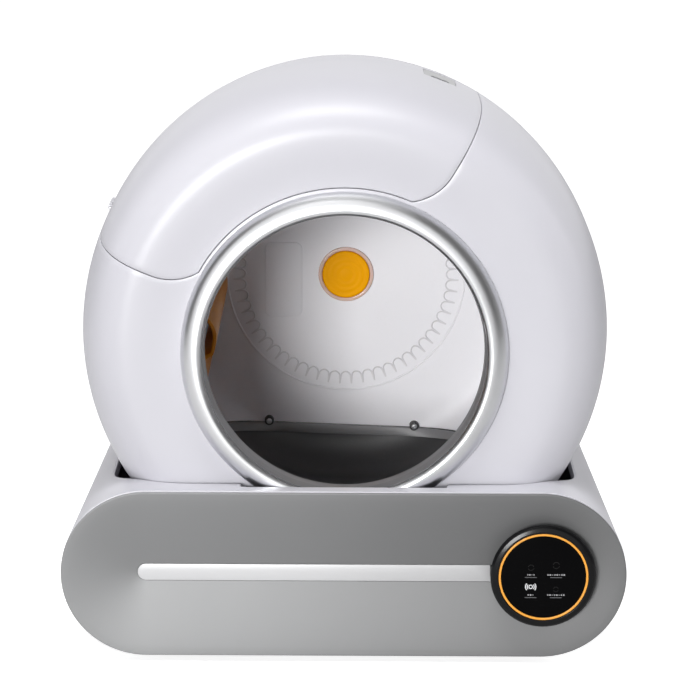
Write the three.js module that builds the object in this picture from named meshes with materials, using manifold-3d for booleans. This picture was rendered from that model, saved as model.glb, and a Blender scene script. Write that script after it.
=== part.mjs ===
// Self cleaning litter box: a fixed globe housing on a wide base, a turning drum inside it,
// a top hatch and a waste drawer whose front is the whole lower face.
// Millimetres, +Z up, X to the right, the front faces -Y. The origin is on the floor, under the middle.

import * as THREE from 'three';
import { mergeVertices } from 'three/addons/utils/BufferGeometryUtils.js';
import Module from 'manifold-3d';

const wasm = await Module();
wasm.setup();

// ---------------------------------------------------------------- overall sizes
const totalWidth = 600;
const totalDepth = 520;
const plateHeight = 180;
const footHeight = 8;
const globeRadius = 286;
const sunkShare = 0.5;
const axisAbovePlate = globeRadius * sunkShare;
const drumGap = 40;
const drumRadius = globeRadius - drumGap;
const wall = 3;
const drumWall = 3;
const fitGap = 0.3;
const runGap = 0.3;
const seamGap = 0.8;
const overrun = 10;

// ---------------------------------------------------------------- depths, from the face of the front plate
const bezelProud = 14;
const plateY = bezelProud - totalDepth / 2;
const rearY = totalDepth / 2;
const atDepth = (depth) => plateY + depth;

const baseFrontDepth = 3.3;
const ringFrontDepth = 22;
const globeFaceDepth = 39;
const globeCrownStart = 185;
const globeCrownEnd = 210;
const globeRearGap = 16;
const driveRoom = 45;
const baseBackDepth = rearY - plateY;
const globeRearDepth = baseBackDepth - globeRearGap;
const drumFrontDepth = 55;
const drumFloorDepth = globeRearDepth - driveRoom;

const baseBottom = footHeight;
const baseTop = footHeight + plateHeight;
const baseMiddle = footHeight + plateHeight / 2;
const axisHeight = baseTop + axisAbovePlate;
const focusX = totalWidth / 2 - plateHeight / 2;

// facets
const roundSteps = 32;
const drumSteps = 28;
const displaySteps = 28;
const smallSteps = 12;
const pinSteps = 10;
const endSteps = 10;
const quarter = Math.PI / 2;
const fullTurn = Math.PI * 2;
const degree = Math.PI / 180;

// ---------------------------------------------------------------- materials
const paint = (color, roughness, metalness) => new THREE.MeshStandardMaterial({ color, roughness, metalness });
const shellWhite = paint(0xe3e2ea, 0.42, 0);
const drumWhite = paint(0xd2d2d8, 0.5, 0);
const plateGrey = paint(0x8f9194, 0.55, 0);
const stripeWhite = paint(0xf4f4f4, 0.35, 0);
const darkGrey = paint(0x343536, 0.6, 0);
const silver = paint(0xb9bbc1, 0.32, 0.85);
const lipGrey = paint(0x77787b, 0.5, 0);
const amber = paint(0xe09a12, 0.4, 0);
const amberGlow = paint(0xf0a832, 0.3, 0);
const paleAmber = paint(0xe8b8a2, 0.35, 0);
const glossBlack = paint(0x08080a, 0.12, 0);
const rubber = paint(0x222224, 0.85, 0);
const steel = paint(0xa8abb0, 0.3, 0.9);
const boardGreen = paint(0x1d5a3a, 0.5, 0);
const gearWhite = paint(0xe8e6df, 0.45, 0);

// ---------------------------------------------------------------- solids
function toSolid(geometry) {
  const bare = geometry.clone();
  bare.deleteAttribute('normal');
  bare.deleteAttribute('uv');
  const welded = mergeVertices(bare);
  const spots = welded.attributes.position;
  const corners = welded.index.array;
  const kept = [];
  let volume = 0;
  const a = new THREE.Vector3();
  const b = new THREE.Vector3();
  const c = new THREE.Vector3();
  for (let i = 0; i < corners.length; i += 3) {
    const [p, q, r] = [corners[i], corners[i + 1], corners[i + 2]];
    if (p === q || q === r || r === p) continue;
    kept.push([p, q, r]);
    a.fromBufferAttribute(spots, p);
    b.fromBufferAttribute(spots, q);
    c.fromBufferAttribute(spots, r);
    volume += a.dot(b.cross(c));
  }
  const turned = volume < 0 ? kept.map(([p, q, r]) => [p, r, q]) : kept;
  const mesh = new wasm.Mesh({
    numProp: 3,
    vertProperties: new Float32Array(spots.array),
    triVerts: new Uint32Array(turned.flat()),
  });
  mesh.merge();
  return new wasm.Manifold(mesh);
}

function toGeometry(body) {
  const mesh = body.getMesh();
  const spots = new Float32Array(mesh.numVert * 3);
  for (let i = 0; i < mesh.numVert; i += 1) {
    for (let k = 0; k < 3; k += 1) spots[i * 3 + k] = mesh.vertProperties[i * mesh.numProp + k];
  }
  const geometry = new THREE.BufferGeometry();
  geometry.setAttribute('position', new THREE.BufferAttribute(spots, 3));
  geometry.setIndex(new THREE.BufferAttribute(new Uint32Array(mesh.triVerts), 1));
  return geometry;
}

const union = (...bodies) => bodies.reduce((all, body) => all.add(body));
const cut = (body, ...tools) => tools.reduce((rest, tool) => rest.subtract(tool), body);

// A closed outline of [radius, depth] points turned about the Y axis.
function turned(outline, steps) {
  const points = outline.map(([radius, y]) => new THREE.Vector2(radius, y));
  points.push(points[0].clone());
  return toSolid(new THREE.LatheGeometry(points, steps));
}

// A tube or disc about the Y axis.
function tube(inner, outer, yStart, yEnd, steps) {
  if (inner === 0) {
    const disc = new THREE.CylinderGeometry(outer, outer, yEnd - yStart, steps);
    disc.translate(0, (yStart + yEnd) / 2, 0);
    return toSolid(disc);
  }
  return turned([[inner, yStart], [outer, yStart], [outer, yEnd], [inner, yEnd]], steps);
}

// A shape drawn in X and Z, carried along Y.
function alongY(shape, yStart, yEnd, steps) {
  const geometry = new THREE.ExtrudeGeometry(shape, { depth: yEnd - yStart, bevelEnabled: false, curveSegments: steps });
  geometry.rotateX(quarter);
  geometry.translate(0, yEnd, 0);
  return toSolid(geometry);
}

// A shape drawn in X and Y, carried up.
function alongZ(shape, zStart, zEnd, steps) {
  const geometry = new THREE.ExtrudeGeometry(shape, { depth: zEnd - zStart, bevelEnabled: false, curveSegments: steps });
  geometry.translate(0, 0, zStart);
  return toSolid(geometry);
}

function block(xStart, xEnd, yStart, yEnd, zStart, zEnd) {
  const geometry = new THREE.BoxGeometry(xEnd - xStart, yEnd - yStart, zEnd - zStart);
  geometry.translate((xStart + xEnd) / 2, (yStart + yEnd) / 2, (zStart + zEnd) / 2);
  return toSolid(geometry);
}

function roundedRect(width, height, radius, centreX, centreY) {
  const shape = new THREE.Shape();
  const left = centreX - width / 2;
  const right = centreX + width / 2;
  const low = centreY - height / 2;
  const high = centreY + height / 2;
  shape.moveTo(left + radius, low);
  shape.lineTo(right - radius, low);
  shape.absarc(right - radius, low + radius, radius, -quarter, 0, false);
  shape.lineTo(right, high - radius);
  shape.absarc(right - radius, high - radius, radius, 0, quarter, false);
  shape.lineTo(left + radius, high);
  shape.absarc(left + radius, high - radius, radius, quarter, Math.PI, false);
  shape.lineTo(left, low + radius);
  shape.absarc(left + radius, low + radius, radius, Math.PI, Math.PI + quarter, false);
  return shape;
}

function polygon(points) {
  return new THREE.Shape(points.map(([x, y]) => new THREE.Vector2(x, y)));
}

function pinAlongY(radius, x, z, yStart, yEnd, steps) {
  return tube(0, radius, yStart, yEnd, steps).translate([x, 0, z]);
}

// Rings of points joined into one closed skin, with flat ends.
function loft(rings) {
  const count = rings[0].length;
  const spots = rings.flat(2);
  const corners = [];
  for (let ring = 0; ring + 1 < rings.length; ring += 1) {
    for (let i = 0; i < count; i += 1) {
      const j = (i + 1) % count;
      const low = ring * count;
      const high = low + count;
      corners.push(low + i, low + j, high + j, low + i, high + j, high + i);
    }
  }
  const last = (rings.length - 1) * count;
  for (let i = 1; i + 1 < count; i += 1) {
    corners.push(0, i + 1, i);
    corners.push(last, last + i, last + i + 1);
  }
  const geometry = new THREE.BufferGeometry();
  geometry.setAttribute('position', new THREE.Float32BufferAttribute(spots, 3));
  geometry.setIndex(corners);
  return toSolid(geometry);
}

// ---------------------------------------------------------------- outlines of revolution
// A quarter of a squared oval from one corner of a box to the opposite one.
function squaredQuarter(radiusStart, depthStart, radiusEnd, depthEnd, power, steps) {
  const points = [];
  for (let i = 0; i <= steps; i += 1) {
    const turn = (i / steps) * quarter;
    const across = Math.sin(turn) ** (2 / power);
    const along = 1 - Math.cos(turn) ** (2 / power);
    points.push([radiusStart + (radiusEnd - radiusStart) * across, depthStart + (depthEnd - depthStart) * along]);
  }
  return points;
}

// Moves an outline sideways: a positive inset goes to its inner side, and flat stretches stay parallel.
function insetOutline(points, inset) {
  const sideOf = (from, to) => {
    const length = Math.hypot(to[0] - from[0], to[1] - from[1]);
    return [-(to[1] - from[1]) / length, (to[0] - from[0]) / length];
  };
  return points.map(([radius, y], i) => {
    const last = points.length - 1;
    const before = i > 0 ? sideOf(points[i - 1], points[i]) : sideOf(points[0], points[1]);
    const after = i < last ? sideOf(points[i], points[i + 1]) : sideOf(points[last - 1], points[last]);
    const spread = 1 + before[0] * after[0] + before[1] * after[1];
    return [radius + ((before[0] + after[0]) / spread) * inset, y + ((before[1] + after[1]) / spread) * inset];
  });
}

const collarInner = 151.7;
const collarOuter = 174.7;
const faceDish = 1.5;
const faceRound = 61;
const faceCrest = globeRadius - faceRound;
const facePower = 2.55;
const rearShare = 170 / 286;
const rearFlat = globeRadius * rearShare;
const rearRound = globeRadius - rearFlat;
const rearPower = 2.3;
const profileSteps = 5;
const spindleHole = 10;

function globeOutline(inset) {
  const front = squaredQuarter(faceCrest, atDepth(globeFaceDepth - faceDish), globeRadius, atDepth(globeCrownStart), facePower, profileSteps);
  const rear = squaredQuarter(rearFlat, atDepth(globeRearDepth), globeRadius, atDepth(globeCrownEnd), rearPower, profileSteps).reverse();
  const line = [
    [collarInner, atDepth(globeFaceDepth)],
    [collarOuter, atDepth(globeFaceDepth)],
    ...front,
    ...rear,
    [spindleHole, atDepth(globeRearDepth)],
  ];
  const moved = insetOutline(line, inset);
  moved[0] = [collarInner, line[0][1] + inset];
  moved[moved.length - 1] = [spindleHole, atDepth(globeRearDepth) - inset];
  return moved;
}

// The globe's outer radius at a depth behind its crown.
function rearRadius(depth) {
  const share = Math.max(depth - globeCrownEnd, 0) / (globeRearDepth - globeCrownEnd);
  return rearFlat + rearRound * (1 - share ** rearPower) ** (1 / rearPower);
}

// The whole space inside an outline, closed to the axis.
function filled(line, steps) {
  const first = line[0];
  const last = line[line.length - 1];
  const points = [[0, first[1]], ...line, [0, last[1]]].map(([radius, y]) => new THREE.Vector2(radius, y));
  return toSolid(new THREE.LatheGeometry(points, steps));
}

const drumMouth = 156;
const drumFrontRound = 14;
const drumFrontDrop = 16;
const drumFrontEdge = drumRadius - drumFrontRound;
const drumRearRound = 50;
const drumRearRun = 52;
const drumCornerSteps = 3;
const drumPower = 2;

// The drum's outer skin, from its mouth to its flat back.
function drumOutline(inset) {
  const front = squaredQuarter(drumFrontEdge, atDepth(drumFrontDepth), drumRadius, atDepth(drumFrontDepth + drumFrontDrop), drumPower, drumCornerSteps);
  const backY = atDepth(drumFloorDepth + drumWall);
  const rear = squaredQuarter(drumRadius - drumRearRound, backY, drumRadius, backY - drumRearRun, drumPower, drumCornerSteps).reverse();
  const line = [[drumMouth, atDepth(drumFrontDepth)], ...front, ...rear, [0, backY]];
  const moved = insetOutline(line, inset);
  moved[0] = [drumMouth, line[0][1] + inset];
  moved[moved.length - 1] = [0, backY - inset];
  return moved;
}

// ---------------------------------------------------------------- the globe housing
const cradleDrop = 6.3;
const cradleTop = axisHeight - collarOuter - cradleDrop;
const cradleHeight = 12;
const hatchRight = 59.4 * degree;
const hatchLeft = 158.2 * degree;
const hatchCorner = 57;
const hatchCornerStart = 219;
const hatchRearGap = 60;
const hatchRearDepth = globeRearDepth - hatchRearGap;
const splitGap = 3;
const splitDepth = globeCrownEnd + splitGap;

// The hatch seen from the front: a sector whose round inner corners run in under the ring, grown by the seam.
function hatchSector(grow) {
  const inner = collarOuter + seamGap - grow;
  const outer = globeRadius + overrun;
  const round = hatchCorner + grow;
  const reach = Math.hypot(hatchCornerStart, hatchCorner);
  const along = (inner ** 2 - round ** 2 + reach ** 2) / (reach * 2);
  const across = Math.sqrt(Math.max(inner ** 2 - along ** 2, 0));
  const meetRun = (hatchCornerStart * along + hatchCorner * across) / reach;
  const meetIn = (hatchCorner * along - hatchCornerStart * across) / reach;
  const cornerTurn = Math.atan2(hatchCornerStart - meetRun, hatchCorner - meetIn);
  const swing = Math.atan2(meetIn, meetRun);
  const edge = (angle, toward) => {
    const spot = (run, into) => [
      Math.cos(angle) * run - Math.sin(angle) * toward * into,
      Math.sin(angle) * run + Math.cos(angle) * toward * into,
    ];
    const line = [spot(outer, -grow)];
    for (let i = 0; i <= cornerSteps; i += 1) {
      const turn = (cornerTurn * i) / cornerSteps;
      line.push(spot(hatchCornerStart - Math.sin(turn) * round, hatchCorner - Math.cos(turn) * round));
    }
    return line;
  };
  const points = edge(hatchRight, 1);
  for (let i = 1; i < sectorSteps; i += 1) {
    const angle = hatchRight + swing + (hatchLeft - hatchRight - swing * 2) * (i / sectorSteps);
    points.push([Math.cos(angle) * inner, Math.sin(angle) * inner]);
  }
  points.push(...edge(hatchLeft, -1).reverse());
  for (let i = 1; i < outerSteps; i += 1) {
    const angle = hatchLeft + (hatchRight - hatchLeft) * (i / outerSteps);
    const far = outer / Math.cos((hatchLeft - hatchRight) / outerSteps / 2);
    points.push([Math.cos(angle) * far, Math.sin(angle) * far]);
  }
  return polygon(points);
}

const cornerSteps = 4;
const sectorSteps = 12;
const outerSteps = 8;

const globeSkin = turned([...globeOutline(0), ...globeOutline(wall).reverse()], roundSteps);
const globeFilled = (inset) => filled(globeOutline(inset), roundSteps);

const cutBelow = block(-totalWidth, totalWidth, -totalDepth, totalDepth, -totalWidth, cradleTop - axisHeight);
const hatchBack = atDepth(hatchRearDepth);
const hatchTool = alongY(hatchSector(0), -totalDepth, hatchBack, 1);
const hatchHole = alongY(hatchSector(seamGap), -totalDepth, hatchBack + seamGap, 1);
const frontSpace = block(-totalWidth, totalWidth, -totalDepth, atDepth(splitDepth), -totalWidth, totalWidth);
const rearSpace = block(-totalWidth, totalWidth, atDepth(splitDepth) + fitGap, totalDepth, -totalWidth, totalWidth);

// The rear opening over the gear motor.
const ringTeeth = 60;
const ringShare = 124 / 246;
const ringPitchRadius = drumRadius * ringShare;
const gearModule = (ringPitchRadius * 2) / ringTeeth;
const pinionTeeth = 12;
const motorDrop = (gearModule * (ringTeeth - pinionTeeth)) / 2;
const motorOpeningWidth = 156;
const motorOpeningHeight = 60;
const motorOpeningCorner = 12;

// The hatch hinge, behind the widest part of the globe.
const hingeProud = 0.6;
const hingeRadius = globeRadius + hingeProud;
const hingeX = Math.cos(hatchLeft) * hingeRadius;
const hingeZ = Math.sin(hatchLeft) * hingeRadius;
const hingePinRadius = 1.3;
const knuckleRadius = 2.8;
const knuckleLength = 16;
const hingeShare = 0.307;
const hingeStartDepth = globeCrownEnd + (globeRearDepth - globeCrownEnd) * hingeShare;
const hingeEndDepth = hingeStartDepth + knuckleLength * 3 + seamGap * 2;
const hingeReach = hingeRadius - rearRadius(hingeEndDepth) + wall;
const knuckleSteps = 12;

// A knuckle with the web that carries it down to the skin, on the side of the seam that it belongs to.
function knuckle(index, side) {
  const start = atDepth(hingeStartDepth + index * (knuckleLength + seamGap));
  const end = start + knuckleLength;
  const barrel = pinAlongY(knuckleRadius, hingeX, hingeZ, start, end, knuckleSteps);
  const inward = [-Math.cos(hatchLeft), -Math.sin(hatchLeft)];
  const away = [Math.sin(hatchLeft) * side, -Math.cos(hatchLeft) * side];
  const place = (reach, sideways) => [
    hingeX + inward[0] * reach + away[0] * sideways,
    hingeZ + inward[1] * reach + away[1] * sideways,
  ];
  const web = alongY(polygon([
    place(0, -knuckleRadius / 2),
    place(0, knuckleRadius),
    place(hingeReach, hingeReach),
    place(hingeReach, seamGap * 2),
    place(knuckleRadius, seamGap * 2),
  ]), start, end, 1);
  const bore = pinAlongY(hingePinRadius + fitGap, hingeX, hingeZ, start - overrun, end + overrun, knuckleSteps);
  return cut(union(barrel, web), bore);
}

const housing = cut(globeSkin, cutBelow, hatchHole);
const insideGlobe = globeFilled(wall / 2);
const frontShellBody = housing.intersect(frontSpace);
const motorOpening = alongY(
  roundedRect(motorOpeningWidth, motorOpeningHeight, motorOpeningCorner, 0, -motorDrop),
  atDepth(globeRearDepth) - wall - overrun,
  atDepth(globeRearDepth) + overrun,
  smallSteps / 4,
);
const rearShellBody = union(
  cut(housing.intersect(rearSpace), motorOpening),
  cut(union(knuckle(0, -1), knuckle(2, -1)), insideGlobe),
);

// The latch: a finger plate in a recess of the hatch, near its free end.
const latchAngle = 69 * degree;
const latchWidth = 38;
const latchLength = 56;
const latchDepth = 9;
const latchSetBack = 12;
const latchCentreDepth = globeCrownEnd + latchSetBack;
const latchCorner = 6;
const latchPlate = 2.4;
const latchTravel = 3;
const latchLedge = 1.5;
const latchStem = 9;
const latchStemDrop = 6;
const latchSpin = latchAngle - quarter;

// Pieces of the latch are drawn with the crown of the globe straight above, then turned to their place.
function atLatch(body) {
  return body.rotate([0, -latchSpin / degree, 0]);
}

const latchY = atDepth(latchCentreDepth);
function latchBlock(width, length, corner, low, high) {
  return alongZ(roundedRect(width, length, corner, 0, latchY), low, high, smallSteps / 6);
}

const recessFloor = globeRadius - latchDepth;
const latchCup = atLatch(cut(
  latchBlock(latchWidth + wall * 2, latchLength + wall * 2, latchCorner + wall, recessFloor - wall, globeRadius - wall / 2),
  latchBlock(latchWidth, latchLength, latchCorner, recessFloor, globeRadius + overrun),
));
const latchWell = atLatch(latchBlock(latchWidth, latchLength, latchCorner, recessFloor, globeRadius + overrun));
const latchBore = atLatch(latchBlock(latchStem + fitGap * 2, latchStem + fitGap * 2, latchStem / 4, recessFloor - wall - overrun, recessFloor + overrun));

const hatchBody = cut(
  union(
    globeSkin.intersect(hatchTool),
    latchCup.intersect(globeFilled(0)),
    cut(knuckle(1, 1), globeFilled(wall / 2)),
  ),
  latchWell,
  latchBore,
);

const latchTop = globeRadius - latchLedge - latchPlate / 2;
const latchRidge = 3;
const latchBody = atLatch(cut(
  union(
    latchBlock(latchWidth - fitGap * 2, latchLength - fitGap * 2, latchCorner, latchTop - latchPlate, latchTop),
    latchBlock(latchStem, latchStem, latchStem / 4, recessFloor - wall - latchStemDrop, latchTop - latchPlate / 2),
  ),
  alongZ(
    roundedRect(latchWidth - latchRidge * 4, latchRidge, latchRidge / 3, 0, latchY - latchLength / 2 + latchRidge * 2),
    latchTop - latchPlate / 2,
    latchTop + overrun,
    2,
  ),
));

// ---------------------------------------------------------------- the entry
const ringInner = 152;
const ringOuter = 174.5;
const ringCrest = 157.5;
const ringInnerSteps = 2;
const ringOuterSteps = 4;

// A short round from the bore to the crest, then a long one out to the rim.
function ringSection() {
  const front = atDepth(ringFrontDepth);
  const seat = atDepth(globeFaceDepth) - fitGap;
  const innerRound = ringCrest - ringInner;
  const points = [];
  for (let i = 0; i < ringInnerSteps; i += 1) {
    const turn = (quarter * i) / ringInnerSteps;
    points.push([ringCrest - Math.cos(turn) * innerRound, front + innerRound * (1 - Math.sin(turn))]);
  }
  for (let i = 0; i <= ringOuterSteps; i += 1) {
    const turn = (quarter * i) / ringOuterSteps;
    points.push([ringCrest + Math.sin(turn) * (ringOuter - ringCrest), seat - Math.cos(turn) * (seat - front)]);
  }
  return [...points, [ringInner, seat]];
}
const entryRingBody = turned(ringSection(), roundSteps);

const lipInner = 147.5;
const lipEdge = 1.2;
const lipFrontDepth = 27;
const lipRearDepth = 60;
const lipOuter = ringInner - fitGap;
const entryLipBody = turned([
  [lipInner + lipEdge, atDepth(lipFrontDepth)],
  [lipOuter, atDepth(lipFrontDepth)],
  [lipOuter, atDepth(lipRearDepth)],
  [lipOuter - wall, atDepth(lipRearDepth)],
  [lipInner, atDepth(lipFrontDepth) + lipEdge * 3],
  [lipInner, atDepth(lipFrontDepth) + lipEdge],
], roundSteps);

// ---------------------------------------------------------------- the drum
const drumSplit = globeCrownEnd - hatchRearGap;
const portStart = 152 * degree;
const portEnd = 200 * degree;
const portSetBack = 20;
const portFrontDepth = drumSplit + portSetBack;
const portRearDepth = drumFloorDepth - hatchRearGap;
const hubRadius = 18;
const hubLength = 24;
const spindleRadius = 9;

const drumSkin = cut(filled(drumOutline(0), drumSteps), filled(drumOutline(drumWall), drumSteps));
const drumMouthCut = tube(0, drumMouth, -totalDepth, atDepth(drumFrontDepth + drumWall + overrun), drumSteps);
const drumBack = atDepth(drumFloorDepth + drumWall);
const drumSplitY = atDepth(drumSplit);

function portShape(start, end, radius) {
  const points = [[0, 0]];
  for (let i = 0; i <= portSteps; i += 1) {
    const angle = start + (end - start) * (i / portSteps);
    points.push([Math.cos(angle) * radius, Math.sin(angle) * radius]);
  }
  return polygon(points);
}
const portSteps = 8;
const portInnerRadius = drumRadius - drumWall * 4;
const portTool = cut(
  alongY(portShape(portStart, portEnd, drumRadius + overrun), atDepth(portFrontDepth), atDepth(portRearDepth), 1),
  tube(0, portInnerRadius, -totalDepth, totalDepth, drumSteps),
);
const drumHub = tube(0, hubRadius, drumBack - drumWall / 2, drumBack + hubLength, smallSteps);
const hubBore = tube(0, spindleRadius + runGap, drumBack, drumBack + hubLength + overrun, smallSteps);
const drumFrontHalf = block(-totalWidth, totalWidth, -totalDepth, drumSplitY - fitGap, -totalWidth, totalWidth);
const drumRearHalf = block(-totalWidth, totalWidth, drumSplitY, totalDepth, -totalWidth, totalWidth);
const drumFrontBody = cut(drumSkin, drumMouthCut).intersect(drumFrontHalf);
const drumRearBody = cut(union(drumSkin.intersect(drumRearHalf), drumHub), portTool, hubBore);

// The litter bed: a dark liner in the bottom of the drum, with a level rim that is turned a little.
const bedWall = 3;
const bedDeep = 60;
const bedRimDrop = drumRadius - bedDeep;
const bedTilt = 2 * degree;
const bedRimHeight = 8;
const bedRimThick = 6;
const bedFrontDepth = 70;
const bedInset = drumWall + fitGap;
const bossRadius = 7;
const bossRise = 4.5;
const bossShift = -4.7;
const bossThick = 8;
const bossReach = 87;
const screwRadius = 2.6;
const screwHead = 4.2;
const screwHeadThick = 2;

const bedShell = cut(filled(drumOutline(bedInset), drumSteps), filled(drumOutline(bedInset + bedWall), drumSteps));
const tilted = (body) => body.rotate([0, bedTilt / degree, 0]);
const bedSpace = tilted(block(-totalWidth, totalWidth, atDepth(bedFrontDepth), totalDepth, -totalWidth, -bedRimDrop));
const bedBack = atDepth(drumFloorDepth) - fitGap;
const rimSpace = tilted(block(-totalWidth, totalWidth, bedBack - bedRimThick, bedBack, -bedRimDrop - bedRimHeight, -bedRimDrop));
const bedRim = rimSpace.intersect(filled(drumOutline(bedInset), drumSteps));
const bossZ = bossRise - bedRimDrop;
const bossX = (side) => bossShift + bossReach * side;
const inDrum = filled(drumOutline(bedInset), drumSteps);
const boss = (side) => tilted(pinAlongY(bossRadius, bossX(side), bossZ, bedBack - bossThick, bedBack, pinSteps)).intersect(inDrum);
const bossBore = (side) => tilted(
  pinAlongY(screwRadius + fitGap, bossX(side), bossZ, bedBack - bossThick - overrun, bedBack + overrun, pinSteps),
);
const bedBody = cut(
  union(bedShell.intersect(bedSpace), bedRim, boss(-1), boss(1)),
  bossBore(-1),
  bossBore(1),
);
const bedScrew = (side) => tilted(union(
  pinAlongY(screwRadius, bossX(side), bossZ, bedBack - bossThick - fitGap * 2, bedBack, pinSteps),
  pinAlongY(screwHead, bossX(side), bossZ, bedBack - bossThick - fitGap - screwHeadThick, bedBack - bossThick - fitGap, pinSteps),
)).intersect(inDrum);

// The sieve: a curved comb at the left of the drum that leads what it lifts to the port.
const sieveThick = 4;
const sieveHeadIn = 50;
const sieveFrontDepth = drumSplit;
const sieveRearDepth = drumFloorDepth - fitGap;
const sieveIn = 92;
const sieveRoundX = drumRadius - sieveIn;
const sieveBulge = 11;
const sieveFootIn = 38;
const sieveFootX = drumRadius - sieveFootIn;
const sieveFootDrop = 136;
const sieveKneeDrop = 124;
const sieveLowDrop = 92;
const sieveTopDrop = 38;
const sieveBulgeDrop = 28;
const sieveBulgeTop = -2;
const sieveHeadX = drumRadius - sieveHeadIn;
const sieveHeadDrop = -34;
const slotCount = 15;
const slotWidth = 9;
const slotEdge = 6;

const sieveLine = [
  [-sieveFootX, -sieveFootDrop],
  [-(sieveRoundX + sieveFootX) / 2, -sieveKneeDrop],
  [-sieveRoundX - sieveBulge / 2, -sieveLowDrop - sieveBulge / 2],
  [-sieveRoundX, -(sieveLowDrop + sieveTopDrop) / 2],
  [-sieveRoundX, -sieveTopDrop],
  [-sieveRoundX + sieveBulge, -sieveBulgeDrop],
  [-sieveRoundX + sieveBulge, -sieveBulgeTop],
  [-(sieveRoundX + sieveHeadX) / 2, -sieveHeadDrop],
  [-sieveHeadX, -sieveHeadDrop - sieveBulge],
];

// A line of corners given a thickness on its left side, as a closed outline.
function thickened(line, thickness) {
  const back = line.map((point, i) => {
    const before = line[Math.max(i - 1, 0)];
    const after = line[Math.min(i + 1, line.length - 1)];
    const length = Math.hypot(after[0] - before[0], after[1] - before[1]);
    return [
      point[0] - ((after[1] - before[1]) / length) * thickness,
      point[1] + ((after[0] - before[0]) / length) * thickness,
    ];
  });
  return polygon([...line, ...back.reverse()]);
}

const sievePlate = alongY(thickened(sieveLine, sieveThick), atDepth(sieveFrontDepth), atDepth(sieveRearDepth), 1);
const slotPitch = (sieveRearDepth - sieveFrontDepth - slotEdge) / slotCount;
const slots = Array.from({ length: slotCount }, (unused, i) => {
  const start = atDepth(sieveFrontDepth) + slotEdge + slotPitch * i;
  const top = -sieveTopDrop - slotEdge;
  return block(-sieveRoundX - sieveBulge * 3, -sieveRoundX + overrun, start, start + slotWidth, -sieveLowDrop, top);
});
const sieveBody = cut(sievePlate, ...slots).intersect(filled(drumOutline(drumWall + fitGap), drumSteps));

// Hub cap, its clear ring, and the small cover on the drum's back wall.
const capRadius = 28;
const capThick = 6;
const capDome = 2;
const capRingInner = 28.4;
const capRingOuter = 32.7;
const capRingThick = 3;
const wallFace = atDepth(drumFloorDepth) - fitGap;
const hubCapBody = turned([
  [0, wallFace],
  [capRadius, wallFace],
  [capRadius, wallFace - capThick + capDome],
  [capRadius - capDome, wallFace - capThick + capDome / 2],
  [capRadius / 2, wallFace - capThick],
  [0, wallFace - capThick],
].slice(1, -1).concat([[0, wallFace - capThick], [0, wallFace]]), roundSteps / 2);
const hubRingBody = tube(capRingInner, capRingOuter, wallFace - capRingThick, wallFace, roundSteps / 2);

const coverWidth = 44;
const coverHeight = 90;
const coverCorner = 8;
const coverThick = 1.6;
const coverX = -74;
const coverDrop = 7;
const scentCoverBody = alongY(
  roundedRect(coverWidth, coverHeight, coverCorner, coverX, -coverDrop),
  wallFace - coverThick,
  wallFace,
  smallSteps / 6,
);

// ---------------------------------------------------------------- the gears
const pressure = 20 * degree;
const ringHeight = 11.5;
const ringRim = 15;
const ringOutside = ringPitchRadius + ringRim;
const backlash = 0.25;
const pinionFace = 9.5;
const pinionBore = 3.9;
const gearStandOff = 1;
const toothTipShare = 0.9;
const toothRootShare = 1.2;
const flankSteps = 2;

// A gear outline with involute flanks, the first tooth on +X.
function gearOutline(teeth, outward, inward, thinning) {
  const pitchRadius = (gearModule * teeth) / 2;
  const baseRadius = pitchRadius * Math.cos(pressure);
  const tipRadius = pitchRadius + outward;
  const rootRadius = pitchRadius - inward;
  const involute = (radius) => {
    const spread = Math.sqrt(Math.max((radius / baseRadius) ** 2 - 1, 0));
    return spread - Math.atan(spread);
  };
  const halfAtPitch = (Math.PI / teeth) / 2 - thinning / pitchRadius / 2;
  const start = Math.max(baseRadius, rootRadius);
  const points = [];
  for (let tooth = 0; tooth < teeth; tooth += 1) {
    const middle = (tooth * fullTurn) / teeth;
    const flank = [];
    for (let i = 0; i <= flankSteps; i += 1) {
      const radius = start + (tipRadius - start) * (i / flankSteps);
      flank.push([radius, halfAtPitch + involute(pitchRadius) - involute(radius)]);
    }
    const foot = flank[0][1];
    if (rootRadius < start) points.push([rootRadius, middle - foot]);
    flank.forEach(([radius, half]) => points.push([radius, middle - half]));
    [...flank].reverse().forEach(([radius, half]) => points.push([radius, middle + half]));
    if (rootRadius < start) points.push([rootRadius, middle + foot]);
  }
  return points.map(([radius, angle]) => [Math.cos(angle) * radius, Math.sin(angle) * radius]);
}

const addendum = gearModule * toothTipShare;
const dedendum = gearModule * toothRootShare;
const gearStart = drumBack + fitGap;
const ringHole = alongY(polygon(gearOutline(ringTeeth, dedendum, addendum, -backlash)), gearStart - overrun, gearStart + ringHeight + overrun, 1);
const ringGearBody = cut(tube(0, ringOutside, gearStart, gearStart + ringHeight, roundSteps), ringHole);

// The pinion meshes straight below the axis: a tooth of it points down into a space of the ring.
const pinionStart = gearStart + gearStandOff;
const pinionBlank = alongY(polygon(gearOutline(pinionTeeth, addendum, dedendum, backlash)), pinionStart, pinionStart + pinionFace, 1);
const pinionBody = cut(pinionBlank, tube(0, pinionBore + fitGap, -totalDepth, totalDepth, pinSteps));

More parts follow.
